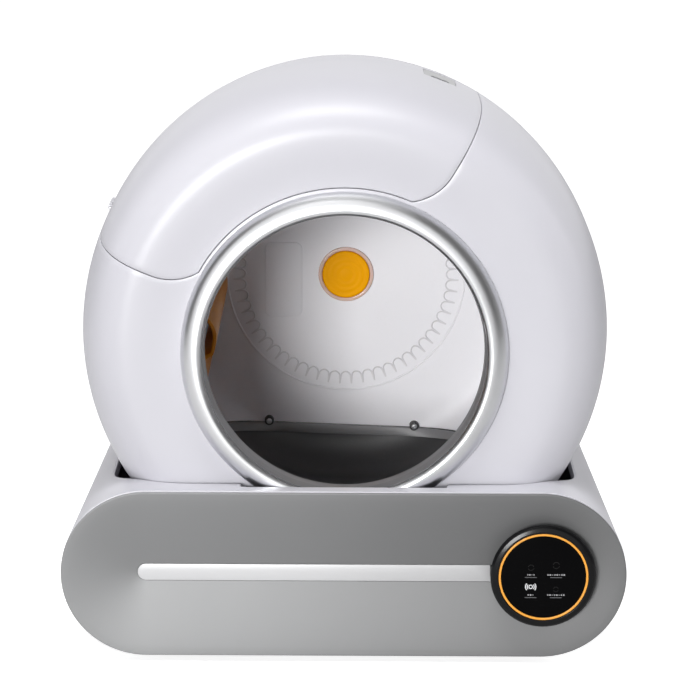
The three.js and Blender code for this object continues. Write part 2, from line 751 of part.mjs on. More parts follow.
// ---------------------------------------------------------------- the drive
const gearboxWidth = 54;
const gearboxHeight = 50;
const gearboxCorner = 8;
const gearboxStart = drumBack + ringHeight + gearStandOff * 3;
const gearboxDepth = 32;
const shaftRadius = 3.9;
const motorRadius = 14;
const motorLength = 42;
const motorEnd = 5;
const gearboxMiddle = gearboxStart + gearboxDepth / 2;
const alongX = (radius, xStart, xEnd, y, z, steps) => {
  const can = new THREE.CylinderGeometry(radius, radius, xEnd - xStart, steps);
  can.rotateZ(quarter);
  can.translate((xStart + xEnd) / 2, y, z);
  return toSolid(can);
};
const motorCanEnd = gearboxWidth / 2 + motorLength;
const gearMotorShape = (grow) => union(
  alongY(roundedRect(gearboxWidth + grow * 2, gearboxHeight + grow * 2, gearboxCorner, 0, -motorDrop), gearboxStart - grow, gearboxStart + gearboxDepth + grow, smallSteps / 6),
  alongX(motorRadius + grow, 0, motorCanEnd + grow, gearboxMiddle, -motorDrop, smallSteps),
  alongX(motorRadius / 2 + grow, 0, motorCanEnd + motorEnd + grow, gearboxMiddle, -motorDrop, pinSteps),
);
const gearMotorBody = union(
  gearMotorShape(0),
  pinAlongY(shaftRadius, 0, -motorDrop, pinionStart - gearStandOff / 2, gearboxStart + overrun, pinSteps),
);

const bracketMargin = 12;
const bracketThick = 3;
const shellBackInner = atDepth(globeRearDepth) - wall;
const bracketBody = cut(
  alongY(
    roundedRect(motorOpeningWidth + bracketMargin, motorOpeningHeight + bracketMargin, motorOpeningCorner, 0, -motorDrop),
    shellBackInner - fitGap - bracketThick,
    shellBackInner - fitGap,
    smallSteps / 6,
  ),
  gearMotorShape(fitGap),
);

const spindleFlange = 26;
const spindleFlangeThick = 4;
const spindleTip = drumBack + fitGap * 2;
const spindleBody = union(
  tube(0, spindleRadius, spindleTip, atDepth(globeRearDepth) + fitGap, smallSteps),
  tube(0, spindleFlange, shellBackInner - fitGap - spindleFlangeThick, shellBackInner - fitGap, roundSteps / 2),
);

const coverMargin = 16;
const coverProud = 13;
const coverWallThick = 2.5;
const rearFace = atDepth(globeRearDepth);
const rearCoverBody = cut(
  alongY(
    roundedRect(motorOpeningWidth + coverMargin, motorOpeningHeight + coverMargin, motorOpeningCorner, 0, -motorDrop),
    rearFace + fitGap,
    rearFace + coverProud,
    smallSteps / 4,
  ),
  alongY(
    roundedRect(
      motorOpeningWidth + coverMargin - coverWallThick * 2,
      motorOpeningHeight + coverMargin - coverWallThick * 2,
      motorOpeningCorner - coverWallThick,
      0,
      -motorDrop,
    ),
    rearFace - overrun,
    rearFace + coverProud - coverWallThick,
    smallSteps / 4,
  ),
);

// ---------------------------------------------------------------- the base
const baseTaper = 0.035;
const baseCorner = 60;
const baseRearEase = 14;
const baseCornerSteps = 4;
const pocketGap = 4;
const pocketSide = Math.sqrt((globeRadius + pocketGap) ** 2 - axisAbovePlate ** 2);
const pocketSideDepth = 125;
const pocketStartShare = 0.47;
const pocketPower = 2.9;
const ringPocketFront = 21;
const skirtWall = 2.5;
const skirtDepth = 16;

function stadiumRing(y, halfWidth, halfHeight) {
  const ring = [];
  for (let side = 0; side < 2; side += 1) {
    for (let i = 0; i <= endSteps; i += 1) {
      const turn = side * Math.PI - quarter + (Math.PI * i) / endSteps;
      const centre = (halfWidth - halfHeight) * (side === 0 ? 1 : -1);
      ring.push([centre + Math.cos(turn) * halfHeight, y, baseMiddle + Math.sin(turn) * halfHeight]);
    }
  }
  return ring;
}

function baseLoft(inset, yStart) {
  const half = totalWidth / 2 - inset;
  const high = plateHeight / 2 - inset;
  const back = rearY - inset;
  const narrowed = (y) => half - (y - plateY) * baseTaper;
  const rings = [stadiumRing(yStart, narrowed(yStart), high)];
  for (let i = 0; i <= baseCornerSteps; i += 1) {
    const turn = (i / baseCornerSteps) * quarter;
    const y = back - baseCorner + Math.sin(turn) * baseCorner;
    const shrink = 1 - Math.cos(turn);
    rings.push(stadiumRing(y, narrowed(y) - baseCorner * shrink, high - baseRearEase * shrink));
  }
  return loft(rings);
}

const toBase = (body) => body.translate([0, 0, axisHeight]);

// The pocket's front corners, squarer than the globe in the top view.
function pocketCorners(grow) {
  const frontY = atDepth(globeFaceDepth - faceDish - pocketGap) - grow;
  const side = pocketSide + grow;
  const corner = squaredQuarter(pocketSide * pocketStartShare, frontY, side, atDepth(pocketSideDepth), pocketPower, profileSteps);
  const mirrored = corner.map(([x, y]) => [-x, y]).reverse();
  return alongZ(polygon([...corner, ...mirrored]), baseTop - skirtDepth - overrun, baseTop + overrun, 1);
}
const pocket = (grow) => union(
  toBase(union(
    globeFilled(-pocketGap - grow),
    tube(0, ringOuter + pocketGap + grow, atDepth(ringPocketFront) - grow, atDepth(globeFaceDepth + overrun), roundSteps),
  )),
  pocketCorners(grow),
);
const outsideBase = baseLoft(0, atDepth(baseFrontDepth));
const insideBase = baseLoft(wall, atDepth(baseFrontDepth) - overrun);
const skirt = cut(pocket(skirtWall), pocket(0))
  .intersect(block(-totalWidth, totalWidth, -totalDepth, totalDepth, baseTop - skirtDepth, baseTop - wall / 2))
  .intersect(outsideBase);

// Drawer runners on the floor, posts for the board, and the hole for the power inlet.
const floorTop = baseBottom + wall;
const railHeight = 2.7;
const railWidth = 8;
const legIn = 10;
const legWidth = 14;
const legInner = focusX - legIn;
const railIn = 50;
const railX = legInner - railIn;
const binDrumGap = 9;
const binTop = axisHeight - drumRadius - binDrumGap;
const binFrontDepth = 19;
const binRearGap = 70;
const binRearDepth = baseBackDepth - binRearGap;
const boardIn = 85;
const boardX = boardIn - focusX;
const boardWidth = 110;
const boardDepth = 34;
const boardBackGap = 36;
const boardCentreDepth = baseBackDepth - boardBackGap;
const boardThick = 1.6;
const postRadius = 3.5;
const postHeight = 9;
const postInset = 6;
const socketIn = 20;
const socketX = socketIn - focusX;
const socketHeight = 34;
const socketWidth = 14;
const socketTall = 12;
const socketDepth = 17;

const rail = (side) => block(
  railX * side - railWidth / 2,
  railX * side + railWidth / 2,
  atDepth(binFrontDepth),
  atDepth(binRearDepth),
  floorTop - wall / 2,
  floorTop + railHeight,
);
const postPlaces = [[-1, -1], [-1, 1], [1, -1], [1, 1]];
const posts = postPlaces.map(([sideX, sideY]) => {
  const post = new THREE.CylinderGeometry(postRadius, postRadius, postHeight + wall / 2, pinSteps / 2);
  post.rotateX(quarter);
  post.translate(
    boardX + sideX * (boardWidth / 2 - postInset),
    atDepth(boardCentreDepth) + sideY * (boardDepth / 2 - postInset),
    floorTop + (postHeight - wall / 2) / 2,
  );
  return toSolid(post).intersect(baseLoft(wall / 2, atDepth(baseFrontDepth)));
});
const socketShape = (grow) => alongY(
  roundedRect(socketWidth + grow * 2, socketTall + grow * 2, socketTall / 6, socketX, socketHeight),
  rearY - socketDepth,
  rearY + (grow > 0 ? overrun : 0),
  4,
);
const baseBody = cut(
  union(cut(outsideBase, insideBase), skirt, rail(-1), rail(1), ...posts),
  pocket(0),
  socketShape(fitGap),
);

const socketBore = 3.2;
const socketPin = 1.1;
const socketBoreDepth = 9;
const socketBody = union(
  cut(socketShape(0), pinAlongY(socketBore, socketX, socketHeight, rearY - socketBoreDepth, rearY + overrun, pinSteps)),
  pinAlongY(socketPin, socketX, socketHeight, rearY - socketBoreDepth - overrun / 2, rearY - socketPin, pinSteps / 2),
);

const chipShares = [[-0.3, 0.1, 0.22, 0.5], [0.08, -0.12, 0.3, 0.42], [0.36, 0.1, 0.16, 0.5]];
const chipHeight = 7;
const boardZ = floorTop + postHeight + fitGap;
const boardY = atDepth(boardCentreDepth);
const boardBody = union(
  block(boardX - boardWidth / 2, boardX + boardWidth / 2, boardY - boardDepth / 2, boardY + boardDepth / 2, boardZ, boardZ + boardThick),
  ...chipShares.map(([x, y, width, depth]) => block(
    boardX + boardWidth * (x - width / 2),
    boardX + boardWidth * (x + width / 2),
    boardY + boardDepth * (y - depth / 2),
    boardY + boardDepth * (y + depth / 2),
    boardZ + boardThick / 2,
    boardZ + boardThick + chipHeight,
  )),
);

const footRadius = 15;
const footSole = 2;
const footInsetFront = 20;
const footInsetRear = 32;
const footSpreadFront = focusX - footInsetFront;
const footSpreadRear = focusX - footInsetRear;
const footFrontDepth = 62;
const footRearGap = 60;
const footRearDepth = baseBackDepth - footRearGap;
const footBody = () => {
  const points = [
    [0, 0],
    [footRadius - footSole, 0],
    [footRadius, footSole],
    [footRadius, footHeight - fitGap],
    [0, footHeight - fitGap],
  ].map(([radius, z]) => new THREE.Vector2(radius, z));
  const foot = new THREE.LatheGeometry(points, smallSteps);
  foot.rotateX(quarter);
  return toSolid(foot);
};

// ---------------------------------------------------------------- the cradle and its rollers
const rollerRadius = 12;
const rollerWidth = 16;
const ledgeDrop = axisHeight - cradleTop;
const ledgeHalf = (depth) => Math.sqrt((depth < globeCrownStart ? globeRadius : rearRadius(depth)) ** 2 - ledgeDrop ** 2);
const rollerIn = 23.5;
const rollerReach = drumRadius + runGap + rollerRadius;
const rollerX = ledgeHalf(0) - rollerIn;
const rollerZ = axisHeight - Math.sqrt(rollerReach ** 2 - rollerX ** 2);
const rollerFrontDepth = 125;
const rollerRearShare = 5 / 14;
const rollerDepths = [rollerFrontDepth, globeCrownEnd + (globeRearDepth - globeCrownEnd) * rollerRearShare];
const axleRadius = 2.5;
const axleOver = 4;
const earThick = 5;
const earRadius = 7;
const earGap = 1;
const ledgeOut = 4;
const ledgeIn = 15;
const drumClear = 5;
const legLength = 34;
const legHeadIn = 21.43;
const kneeRise = 10;

const ledge = cut(
  toBase(cut(globeFilled(-ledgeOut), globeFilled(ledgeIn))),
  toBase(filled(drumOutline(-drumClear), drumSteps)),
).intersect(block(-totalWidth, totalWidth, -totalDepth, totalDepth, cradleTop - cradleHeight, cradleTop - fitGap));

const roomInBase = baseLoft(wall + fitGap, atDepth(baseFrontDepth));

// A leg stands beside the bin, and above it leans to the middle of the ledge.
function leg(side, y) {
  const ring = (inner, z) => [
    [side * inner, y - legLength / 2, z],
    [side * (inner + legWidth), y - legLength / 2, z],
    [side * (inner + legWidth), y + legLength / 2, z],
    [side * inner, y + legLength / 2, z],
  ];
  return loft([
    ring(legInner, baseBottom),
    ring(legInner, binTop + kneeRise),
    ring(ledgeHalf(0) - legHeadIn, cradleTop - cradleHeight / 2),
  ]);
}
const cradlePieces = [];
for (const side of [-1, 1]) {
  for (const depth of rollerDepths) {
    const y = atDepth(depth);
    const earOffset = rollerWidth / 2 + earGap + earThick / 2;
    for (const turn of [-1, 1]) {
      const middle = y + earOffset * turn;
      cradlePieces.push(
        pinAlongY(earRadius, rollerX * side, rollerZ, middle - earThick / 2, middle + earThick / 2, pinSteps),
        block(
          side > 0 ? rollerX - earRadius : -ledgeHalf(depth),
          side > 0 ? ledgeHalf(depth) : -rollerX + earRadius,
          middle - earThick / 2,
          middle + earThick / 2,
          cradleTop - cradleHeight,
          rollerZ - earRadius / 2,
        ).intersect(toBase(globeFilled(wall + ledgeOut / 2))),
      );
    }
    cradlePieces.push(leg(side, y).intersect(union(roomInBase, toBase(globeFilled(-ledgeOut)))));
  }
}
const axleBores = [-1, 1].map((side) => pinAlongY(axleRadius + fitGap, rollerX * side, rollerZ, -totalDepth, totalDepth, pinSteps / 2));
const cradleBody = cut(union(ledge, ...cradlePieces), ...axleBores);

const axleBody = (side) => {
  const overhang = rollerWidth / 2 + earGap + earThick + axleOver;
  return pinAlongY(axleRadius, rollerX * side, rollerZ, atDepth(rollerDepths[0]) - overhang, atDepth(rollerDepths[1]) + overhang, pinSteps / 2);
};
const rollerBody = () => tube(axleRadius + fitGap, rollerRadius, -rollerWidth / 2, rollerWidth / 2, smallSteps);

// ---------------------------------------------------------------- the drawer
const valleyDepth = 10;
const valleyFloor = 9.3;
const plateThick = 3;
const plateRound = 1.2;
const stripeHalf = 9;
const stripeThick = 1.5;
const stripeSink = 1.4;
// A closed outline of [distance, y] points carried round the middle line of the plate.
function roundPlate(outline) {
  const count = (endSteps + 1) * 2;
  const spots = [];
  outline.forEach(([distance, y]) => {
    for (let side = 0; side < 2; side += 1) {
      for (let i = 0; i <= endSteps; i += 1) {
        const turn = side * Math.PI - quarter + (Math.PI * i) / endSteps;
        spots.push((side === 0 ? focusX : -focusX) + Math.cos(turn) * distance, y, baseMiddle + Math.sin(turn) * distance);
      }
    }
  });
  const corners = [];
  outline.forEach((unused, ring) => {
    const next = ((ring + 1) % outline.length) * count;
    for (let i = 0; i < count; i += 1) {
      const j = (i + 1) % count;
      corners.push(ring * count + i, ring * count + j, next + j, ring * count + i, next + j, next + i);
    }
  });
  const geometry = new THREE.BufferGeometry();
  geometry.setAttribute('position', new THREE.Float32BufferAttribute(spots, 3));
  geometry.setIndex(corners);
  return toSolid(geometry);
}

function slotShape(distance) {
  const shape = new THREE.Shape();
  shape.absarc(focusX, baseMiddle, distance, -quarter, quarter, false);
  shape.absarc(-focusX, baseMiddle, distance, quarter, quarter + Math.PI, false);
  return shape;
}

const plateHalf = plateHeight / 2;
const platePan = roundPlate([
  [plateHalf - plateRound, plateY],
  [plateHalf, plateY + plateRound],
  [plateHalf, plateY + plateThick],
  [plateHalf - plateThick, plateY + plateThick],
  [valleyFloor, plateY + valleyDepth + plateThick],
  [valleyFloor - plateThick, plateY + valleyDepth + plateThick],
  [valleyFloor - plateThick, plateY + valleyDepth + stripeSink],
  [valleyFloor, plateY + valleyDepth + stripeSink],
  [valleyFloor, plateY + valleyDepth],
]);
const plateFloor = alongY(slotShape(valleyFloor - fitGap / 2), plateY + valleyDepth + stripeSink, plateY + valleyDepth + plateThick, endSteps);

const displayShift = 1;
const displayX = focusX + displayShift;
const displayDrop = 2;
const displayZ = baseMiddle + displayDrop;
const bezelRadius = 55;
const bezelSeat = 50;
const bezelBack = 6;
const bezelLip = 2.4;
const lightInner = 45.05;
const lightOuter = 47.35;
const glassThick = 2;
const lightThick = 3;
const glassSink = 0.6;
const bezelFloor = 8;
const padWidth = 26;
const padHeight = 34;
const padX = 110;
const padZ = 44;
const binWall = 2.5;
const binSideGap = 16;
const binHalf = legInner - binSideGap;
const binCorner = 16;
const binFlange = 5;

const displayHole = tube(0, bezelSeat + fitGap, -totalDepth, totalDepth, displaySteps).translate([displayX, 0, displayZ]);
const padEnd = atDepth(binFrontDepth) - fitGap;
const pads = [-1, 1].map((side) => block(
  padX * side - padWidth / 2,
  padX * side + padWidth / 2,
  plateY + valleyDepth / 2 + plateThick / 2,
  padEnd,
  padZ - padHeight / 2,
  padZ + padHeight / 2,
));
const fasciaFront = roundPlate([
  [plateHalf, plateY - overrun],
  [plateHalf, plateY],
  [valleyFloor, plateY + valleyDepth],
  [valleyFloor, plateY - overrun],
]);
const fasciaBody = cut(union(platePan, plateFloor, ...pads.map((pad) => cut(pad, fasciaFront))), displayHole);

const stripeStart = plateY + valleyDepth + stripeSink - fitGap - stripeThick;
const stripeBody = cut(
  alongY(slotShape(stripeHalf), stripeStart, stripeStart + stripeThick, endSteps),
  tube(0, bezelRadius + fitGap * 2, -totalDepth, totalDepth, roundSteps / 2).translate([displayX, 0, displayZ]),
  block(displayX, totalWidth, -totalDepth, totalDepth, 0, totalWidth),
);

const bezelFront = plateY - bezelProud;
const plateSurface = (distance) => plateY + (valleyDepth * (plateHalf - distance)) / (plateHalf - valleyFloor);
const skirtBack = plateSurface(bezelRadius + displayDrop) - fitGap;
const bezelBase = plateY + valleyDepth + plateThick + bezelBack;
const bezelBodyShape = turned([
  [lightInner - bezelLip, bezelFront + glassSink + glassThick + fitGap],
  [lightInner - fitGap, bezelFront + glassSink + glassThick + fitGap],
  [lightInner - fitGap, bezelFront + lightThick + fitGap * 2],
  [lightOuter + fitGap, bezelFront + lightThick + fitGap * 2],
  [lightOuter + fitGap, bezelFront],
  [lightOuter + bezelLip, bezelFront + fitGap],
  [bezelRadius - bezelLip, bezelFront + bezelLip],
  [bezelRadius - fitGap, bezelFront + bezelLip * 2],
  [bezelRadius, bezelFront + bezelProud / 2],
  [bezelRadius, skirtBack],
  [bezelSeat, skirtBack],
  [bezelSeat, bezelBase],
  [bezelSeat - bezelLip, bezelBase],
  [lightInner - bezelLip, plateY],
], displaySteps);
const place = (body) => body.translate([displayX, 0, displayZ]);
const bezelBody = place(bezelBodyShape);
const lightRingBody = place(tube(lightInner, lightOuter, bezelFront + fitGap, bezelFront + lightThick, displaySteps));
const glassBody = place(tube(0, lightInner - fitGap, bezelFront + glassSink, bezelFront + glassSink + glassThick, displaySteps));
const displayBoardBody = place(union(
  tube(0, lightInner - bezelLip - fitGap, plateY - bezelFloor, plateY - bezelFloor + boardThick, roundSteps / 2),
  tube(0, lightInner / 3, plateY - bezelFloor + boardThick / 2, plateY - bezelFloor + boardThick * 3, pinSteps),
));

const binStart = atDepth(binFrontDepth);
const binEnd = atDepth(binRearDepth);
const binMiddle = (binStart + binEnd) / 2;
const binLength = binEnd - binStart;
const binBottom = floorTop + railHeight + fitGap;
const binRect = (grow, corner) => roundedRect((binHalf + grow) * 2, binLength + grow * 2, corner, 0, binMiddle);
const binBody = cut(
  union(
    alongZ(binRect(0, binCorner), binBottom, binTop, smallSteps / 4),
    alongZ(binRect(0, binCorner), binTop - binWall, binTop, smallSteps / 4),
  ),
  alongZ(binRect(-binWall, binCorner - binWall), binBottom + binWall, binTop + overrun, smallSteps / 4),
);
const frameThick = 3;
const frameBody = cut(
  alongZ(binRect(0, binCorner), binTop + fitGap, binTop + fitGap + frameThick, smallSteps / 4),
  alongZ(binRect(-binFlange * 2, binCorner / 2), binTop - overrun, binTop + frameThick + overrun, smallSteps / 4),
);

// ---------------------------------------------------------------- the assembly
const litterBox = new THREE.Group();
litterBox.name = 'self_cleaning_litter_box';
const baseGroup = new THREE.Group();
const globeGroup = new THREE.Group();
const drumGroup = new THREE.Group();
const drawerGroup = new THREE.Group();
globeGroup.position.z = axisHeight;
drumGroup.position.z = axisHeight;
litterBox.add(baseGroup, globeGroup, drumGroup, drawerGroup);

function addPiece(group, name, body, material) {
  const mesh = new THREE.Mesh(toGeometry(body), material);
  mesh.name = name;
  group.add(mesh);
  return mesh;
}

addPiece(baseGroup, 'base_shell', baseBody, shellWhite);
addPiece(baseGroup, 'cradle', cradleBody, lipGrey);
addPiece(baseGroup, 'control_board', boardBody, boardGreen);
addPiece(baseGroup, 'power_inlet', socketBody, glossBlack);
const footPlaces = [
  ['foot_front_left', -footSpreadFront, footFrontDepth],
  ['foot_front_right', footSpreadFront, footFrontDepth],
  ['foot_rear_left', -footSpreadRear, footRearDepth],
  ['foot_rear_right', footSpreadRear, footRearDepth],
];
for (const [name, x, depth] of footPlaces) {
  const foot = addPiece(baseGroup, name, footBody(), rubber);
  foot.position.set(x, atDepth(depth), 0);
}
addPiece(baseGroup, 'roller_axle_left', axleBody(-1), steel);
addPiece(baseGroup, 'roller_axle_right', axleBody(1), steel);
for (const [side, sideName] of [[-1, 'left'], [1, 'right']]) {
  rollerDepths.forEach((depth, row) => {
    const roller = addPiece(baseGroup, `roller_${row === 0 ? 'front' : 'rear'}_${sideName}`, rollerBody(), rubber);
    roller.position.set(rollerX * side, atDepth(depth), rollerZ);
  });
}

addPiece(globeGroup, 'shell_front', frontShellBody, shellWhite);
addPiece(globeGroup, 'shell_rear', rearShellBody, shellWhite);
addPiece(globeGroup, 'rear_cover', rearCoverBody, shellWhite);
addPiece(globeGroup, 'entry_ring', entryRingBody, silver);
addPiece(globeGroup, 'entry_lip', entryLipBody, lipGrey);
addPiece(globeGroup, 'gear_motor', gearMotorBody, darkGrey);
addPiece(globeGroup, 'motor_bracket', bracketBody, steel);
addPiece(globeGroup, 'rear_spindle', spindleBody, steel);
addPiece(globeGroup, 'hatch', hatchBody, shellWhite);
addPiece(globeGroup, 'hatch_latch', latchBody, lipGrey);
const pinOver = 1;
addPiece(
  globeGroup,
  'hinge_pin',
  pinAlongY(hingePinRadius, hingeX, hingeZ, atDepth(hingeStartDepth) - pinOver, atDepth(hingeEndDepth) + pinOver, pinSteps / 2),
  steel,
);
const pinion = addPiece(globeGroup, 'drive_pinion', pinionBody, gearWhite);
pinion.position.z = -motorDrop;

addPiece(drumGroup, 'drum_front', drumFrontBody, drumWhite);
addPiece(drumGroup, 'drum_rear', drumRearBody, drumWhite);
addPiece(drumGroup, 'ring_gear', ringGearBody, gearWhite);
addPiece(drumGroup, 'hub_cap', hubCapBody, amber);
addPiece(drumGroup, 'hub_ring', hubRingBody, paleAmber);
addPiece(drumGroup, 'scent_cover', scentCoverBody, drumWhite);
addPiece(drumGroup, 'litter_bed', bedBody, darkGrey);
addPiece(drumGroup, 'bed_screw_left', bedScrew(-1), steel);
addPiece(drumGroup, 'bed_screw_right', bedScrew(1), steel);
addPiece(drumGroup, 'sieve', sieveBody, amber);

addPiece(drawerGroup, 'drawer_bin', binBody, lipGrey);
addPiece(drawerGroup, 'bag_frame', frameBody, darkGrey);
addPiece(drawerGroup, 'fascia', fasciaBody, plateGrey);
addPiece(drawerGroup, 'stripe', stripeBody, stripeWhite);
addPiece(drawerGroup, 'display_bezel', bezelBody, glossBlack);
addPiece(drawerGroup, 'light_ring', lightRingBody, amberGlow);
addPiece(drawerGroup, 'display_glass', glassBody, glossBlack);
addPiece(drawerGroup, 'display_board', displayBoardBody, boardGreen);

export default litterBox;
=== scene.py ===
# Self cleaning litter box: smooth shells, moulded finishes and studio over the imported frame.
# Sizes are millimetres in the object's own frame; they become metres when a mesh is made.
# Depths are counted from the face of the grey front plate, angles from +X toward the top.
import math

import bmesh
import bpy
from mathutils import Matrix, Vector


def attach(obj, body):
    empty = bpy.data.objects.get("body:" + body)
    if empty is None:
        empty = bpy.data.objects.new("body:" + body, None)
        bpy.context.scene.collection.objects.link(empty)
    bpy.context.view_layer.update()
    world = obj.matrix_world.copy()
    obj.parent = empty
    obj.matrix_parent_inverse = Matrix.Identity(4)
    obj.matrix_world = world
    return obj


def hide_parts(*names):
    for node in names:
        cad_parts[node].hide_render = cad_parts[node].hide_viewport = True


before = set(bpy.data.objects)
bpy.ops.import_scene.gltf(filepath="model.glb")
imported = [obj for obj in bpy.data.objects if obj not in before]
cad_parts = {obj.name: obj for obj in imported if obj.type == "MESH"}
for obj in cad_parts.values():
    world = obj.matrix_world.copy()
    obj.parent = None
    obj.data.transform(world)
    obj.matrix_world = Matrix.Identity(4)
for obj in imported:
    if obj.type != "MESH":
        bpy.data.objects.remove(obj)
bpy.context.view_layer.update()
print("frame loaded,", len(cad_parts), "nodes")

mm = 0.001
degree = math.pi / 180
plateY = -246.0
axisHeight = 331.0
baseMiddle = 98.0
focusX = 210.0


def atDepth(depth):
    return plateY + depth


# camera
cameraPlace = {
    "spot": (10.56, -3287.3, 1051.5), "pitch": 13.13, "yaw": -0.09, "roll": 0.24,
    "focus": 3000.0, "frame": 700.0,
}


def addCamera(spec):
    pitch, yaw, roll = (spec[key] * degree for key in ("pitch", "yaw", "roll"))
    forward = Vector((math.sin(yaw) * math.cos(pitch), math.cos(yaw) * math.cos(pitch), -math.sin(pitch)))
    level = Vector((math.cos(yaw), -math.sin(yaw), 0))
    upright = level.cross(forward)
    right = level * math.cos(roll) + upright * math.sin(roll)
    up = upright * math.cos(roll) - level * math.sin(roll)
    data = bpy.data.cameras.new("camera")
    data.sensor_width = 36.0
    data.lens = spec["focus"] / spec["frame"] * data.sensor_width
    data.clip_start, data.clip_end = 0.1, 60
    camera = bpy.data.objects.new("camera", data)
    turned = Matrix((right, up, -forward)).transposed().to_4x4()
    camera.matrix_world = Matrix.Translation(Vector(spec["spot"]) * mm) @ turned
    bpy.context.scene.collection.objects.link(camera)
    bpy.context.scene.camera = camera


addCamera(cameraPlace)
print("camera placed")


# shader groups, each one an effect that several finishes share
def feed(tree, socket, value):
    if hasattr(value, "links"):
        tree.links.new(value, socket)
    else:
        socket.default_value = value


def addSockets(tree, side, values):
    # the kind of each socket follows its value: whole number, number, place or colour
    for label, value in values.items():
        size = len(value) if isinstance(value, tuple) else 0
        kind = {0: "Int" if isinstance(value, int) else "Float", 3: "Vector", 4: "Color"}[size]
        socket = tree.interface.new_socket(label, in_out=side, socket_type="NodeSocket" + kind)
        if side == "INPUT":
            socket.default_value = value


def newGroup(name, inputs, outputs):
    group = bpy.data.node_groups.new(name, "ShaderNodeTree")
    addSockets(group, "INPUT", inputs)
    addSockets(group, "OUTPUT", outputs)
    return group, group.nodes.new("NodeGroupInput").outputs, group.nodes.new("NodeGroupOutput").inputs


noPlace = (0.0, 0.0, 0.0)
noColour = (0.0, 0.0, 0.0, 1.0)


def calc(tree, operation, first, second=0.0, third=None):
    node = tree.nodes.new("ShaderNodeMath")
    node.operation = operation
    feed(tree, node.inputs[0], first)
    feed(tree, node.inputs[1], second)
    if third is not None:
        feed(tree, node.inputs[2], third)
    return node.outputs[0]


def sums(tree):
    # adding, subtracting and multiplying in one tree
    return [lambda *values, kind=kind: calc(tree, kind, *values) for kind in ("ADD", "SUBTRACT", "MULTIPLY")]


def mixed(tree, share, first, second):
    node = tree.nodes.new("ShaderNodeMix")
    node.data_type = "RGBA"
    for index, value in ((0, share), (6, first), (7, second)):
        feed(tree, node.inputs[index], value)
    return node.outputs[2]


def between(tree, value, low, high):
    node = tree.nodes.new("ShaderNodeMapRange")
    node.interpolation_type = "SMOOTHSTEP"
    feed(tree, node.inputs["Value"], value)
    node.inputs["From Min"].default_value = low
    node.inputs["From Max"].default_value = high
    return node.outputs["Result"]


def cloud(tree, spot, size, detail=2.0, rough=0.5):
    node = tree.nodes.new("ShaderNodeTexNoise")
    feed(tree, node.inputs["Vector"], spot)
    feed(tree, node.inputs["Scale"], size)
    node.inputs["Detail"].default_value = detail
    node.inputs["Roughness"].default_value = rough
    return node.outputs["Fac"]


def grainGroup():
    # moulded grain: fine pips for the bump and a slow drift for the roughness
    inputs = {"Spot": noPlace, "Pips": 1500.0, "Rough": 0.4, "Drift": 0.08}
    group, given, out = newGroup("mouldedGrain", inputs, {"Height": 0.0, "Roughness": 0.0})
    pips = cloud(group, given["Spot"], given["Pips"], 2.0, 0.6)
    slow = cloud(group, given["Spot"], 14.0, 3.0)
    add, less, times = sums(group)
    swing = add(less(slow, 0.5), times(less(pips, 0.5), 0.6))
    group.links.new(pips, out["Height"])
    group.links.new(calc(group, "MULTIPLY_ADD", swing, given["Drift"], given["Rough"]), out["Roughness"])
    return group


def toneGroup():
    # slow change between two tones of one finish
    inputs = {"Spot": noPlace, "Tone": noColour, "Shade": noColour, "Size": 6.0, "Amount": 0.5}
    group, given, out = newGroup("toneDrift", inputs, {"Colour": noColour})
    patches = between(group, cloud(group, given["Spot"], given["Size"], 4.0), 0.35, 0.7)
    share = calc(group, "MULTIPLY", patches, given["Amount"])
    group.links.new(mixed(group, share, given["Tone"], given["Shade"]), out["Colour"])
    return group


def dustGroup():
    # thin dust or scuffs that gather in patches of specks
    inputs = {"Spot": noPlace, "Colour": noColour, "Dust": noColour, "Specks": 420.0, "Amount": 0.2}
    group, given, out = newGroup("fineDust", inputs, {"Colour": noColour})
    specks = between(group, cloud(group, given["Spot"], given["Specks"], 5.0, 0.7), 0.52, 0.72)
    patches = between(group, cloud(group, given["Spot"], 22.0, 3.0), 0.38, 0.66)
    mask = calc(group, "MULTIPLY", calc(group, "MULTIPLY", specks, patches), given["Amount"])
    group.links.new(mixed(group, mask, given["Colour"], given["Dust"]), out["Colour"])
    return group


def turningGroup():
    # fine rings round the Y axis of the piece, as a turned or polished face has
    inputs = {"Spot": noPlace, "Pitch": 0.001, "Wander": 0.4}
    group, given, out = newGroup("turningRings", inputs, {"Height": 0.0})
    split = group.nodes.new("ShaderNodeSeparateXYZ")
    group.links.new(given["Spot"], split.inputs[0])
    add, less, times = sums(group)
    across, up = (calc(group, "POWER", split.outputs[axis], 2.0) for axis in (0, 2))
    radius = calc(group, "SQRT", add(across, up))
    stray = times(cloud(group, given["Spot"], 60.0), given["Wander"])
    wave = calc(group, "SINE", times(add(calc(group, "DIVIDE", radius, given["Pitch"]), stray), math.tau))
    group.links.new(calc(group, "MULTIPLY_ADD", wave, 0.5, 0.5), out["Height"])
    return group


effects = {"grain": grainGroup(), "tone": toneGroup(), "dust": dustGroup(), "turning": turningGroup()}


def place(tree, effect, **values):
    node = tree.nodes.new("ShaderNodeGroup")
    node.node_tree = effects[effect]
    for label, value in values.items():
        feed(tree, node.inputs[label], value)
    return node.outputs


def newSkin(name, **plain):
    # a material and its Principled node, with the plain values that don't change over the surface
    material = bpy.data.materials.new(name)
    material.use_nodes = True
    skin = material.node_tree.nodes["Principled BSDF"]
    for label, value in plain.items():
        skin.inputs[label.replace("_", " ")].default_value = value
    return material, material.node_tree, skin


def sideways(tree, spot):
    # the x of a place, in metres
    split = tree.nodes.new("ShaderNodeSeparateXYZ")
    tree.links.new(spot, split.inputs[0])
    return split.outputs[0]


bumpDistance = 0.00008  # metres between the foot and the top of the grain


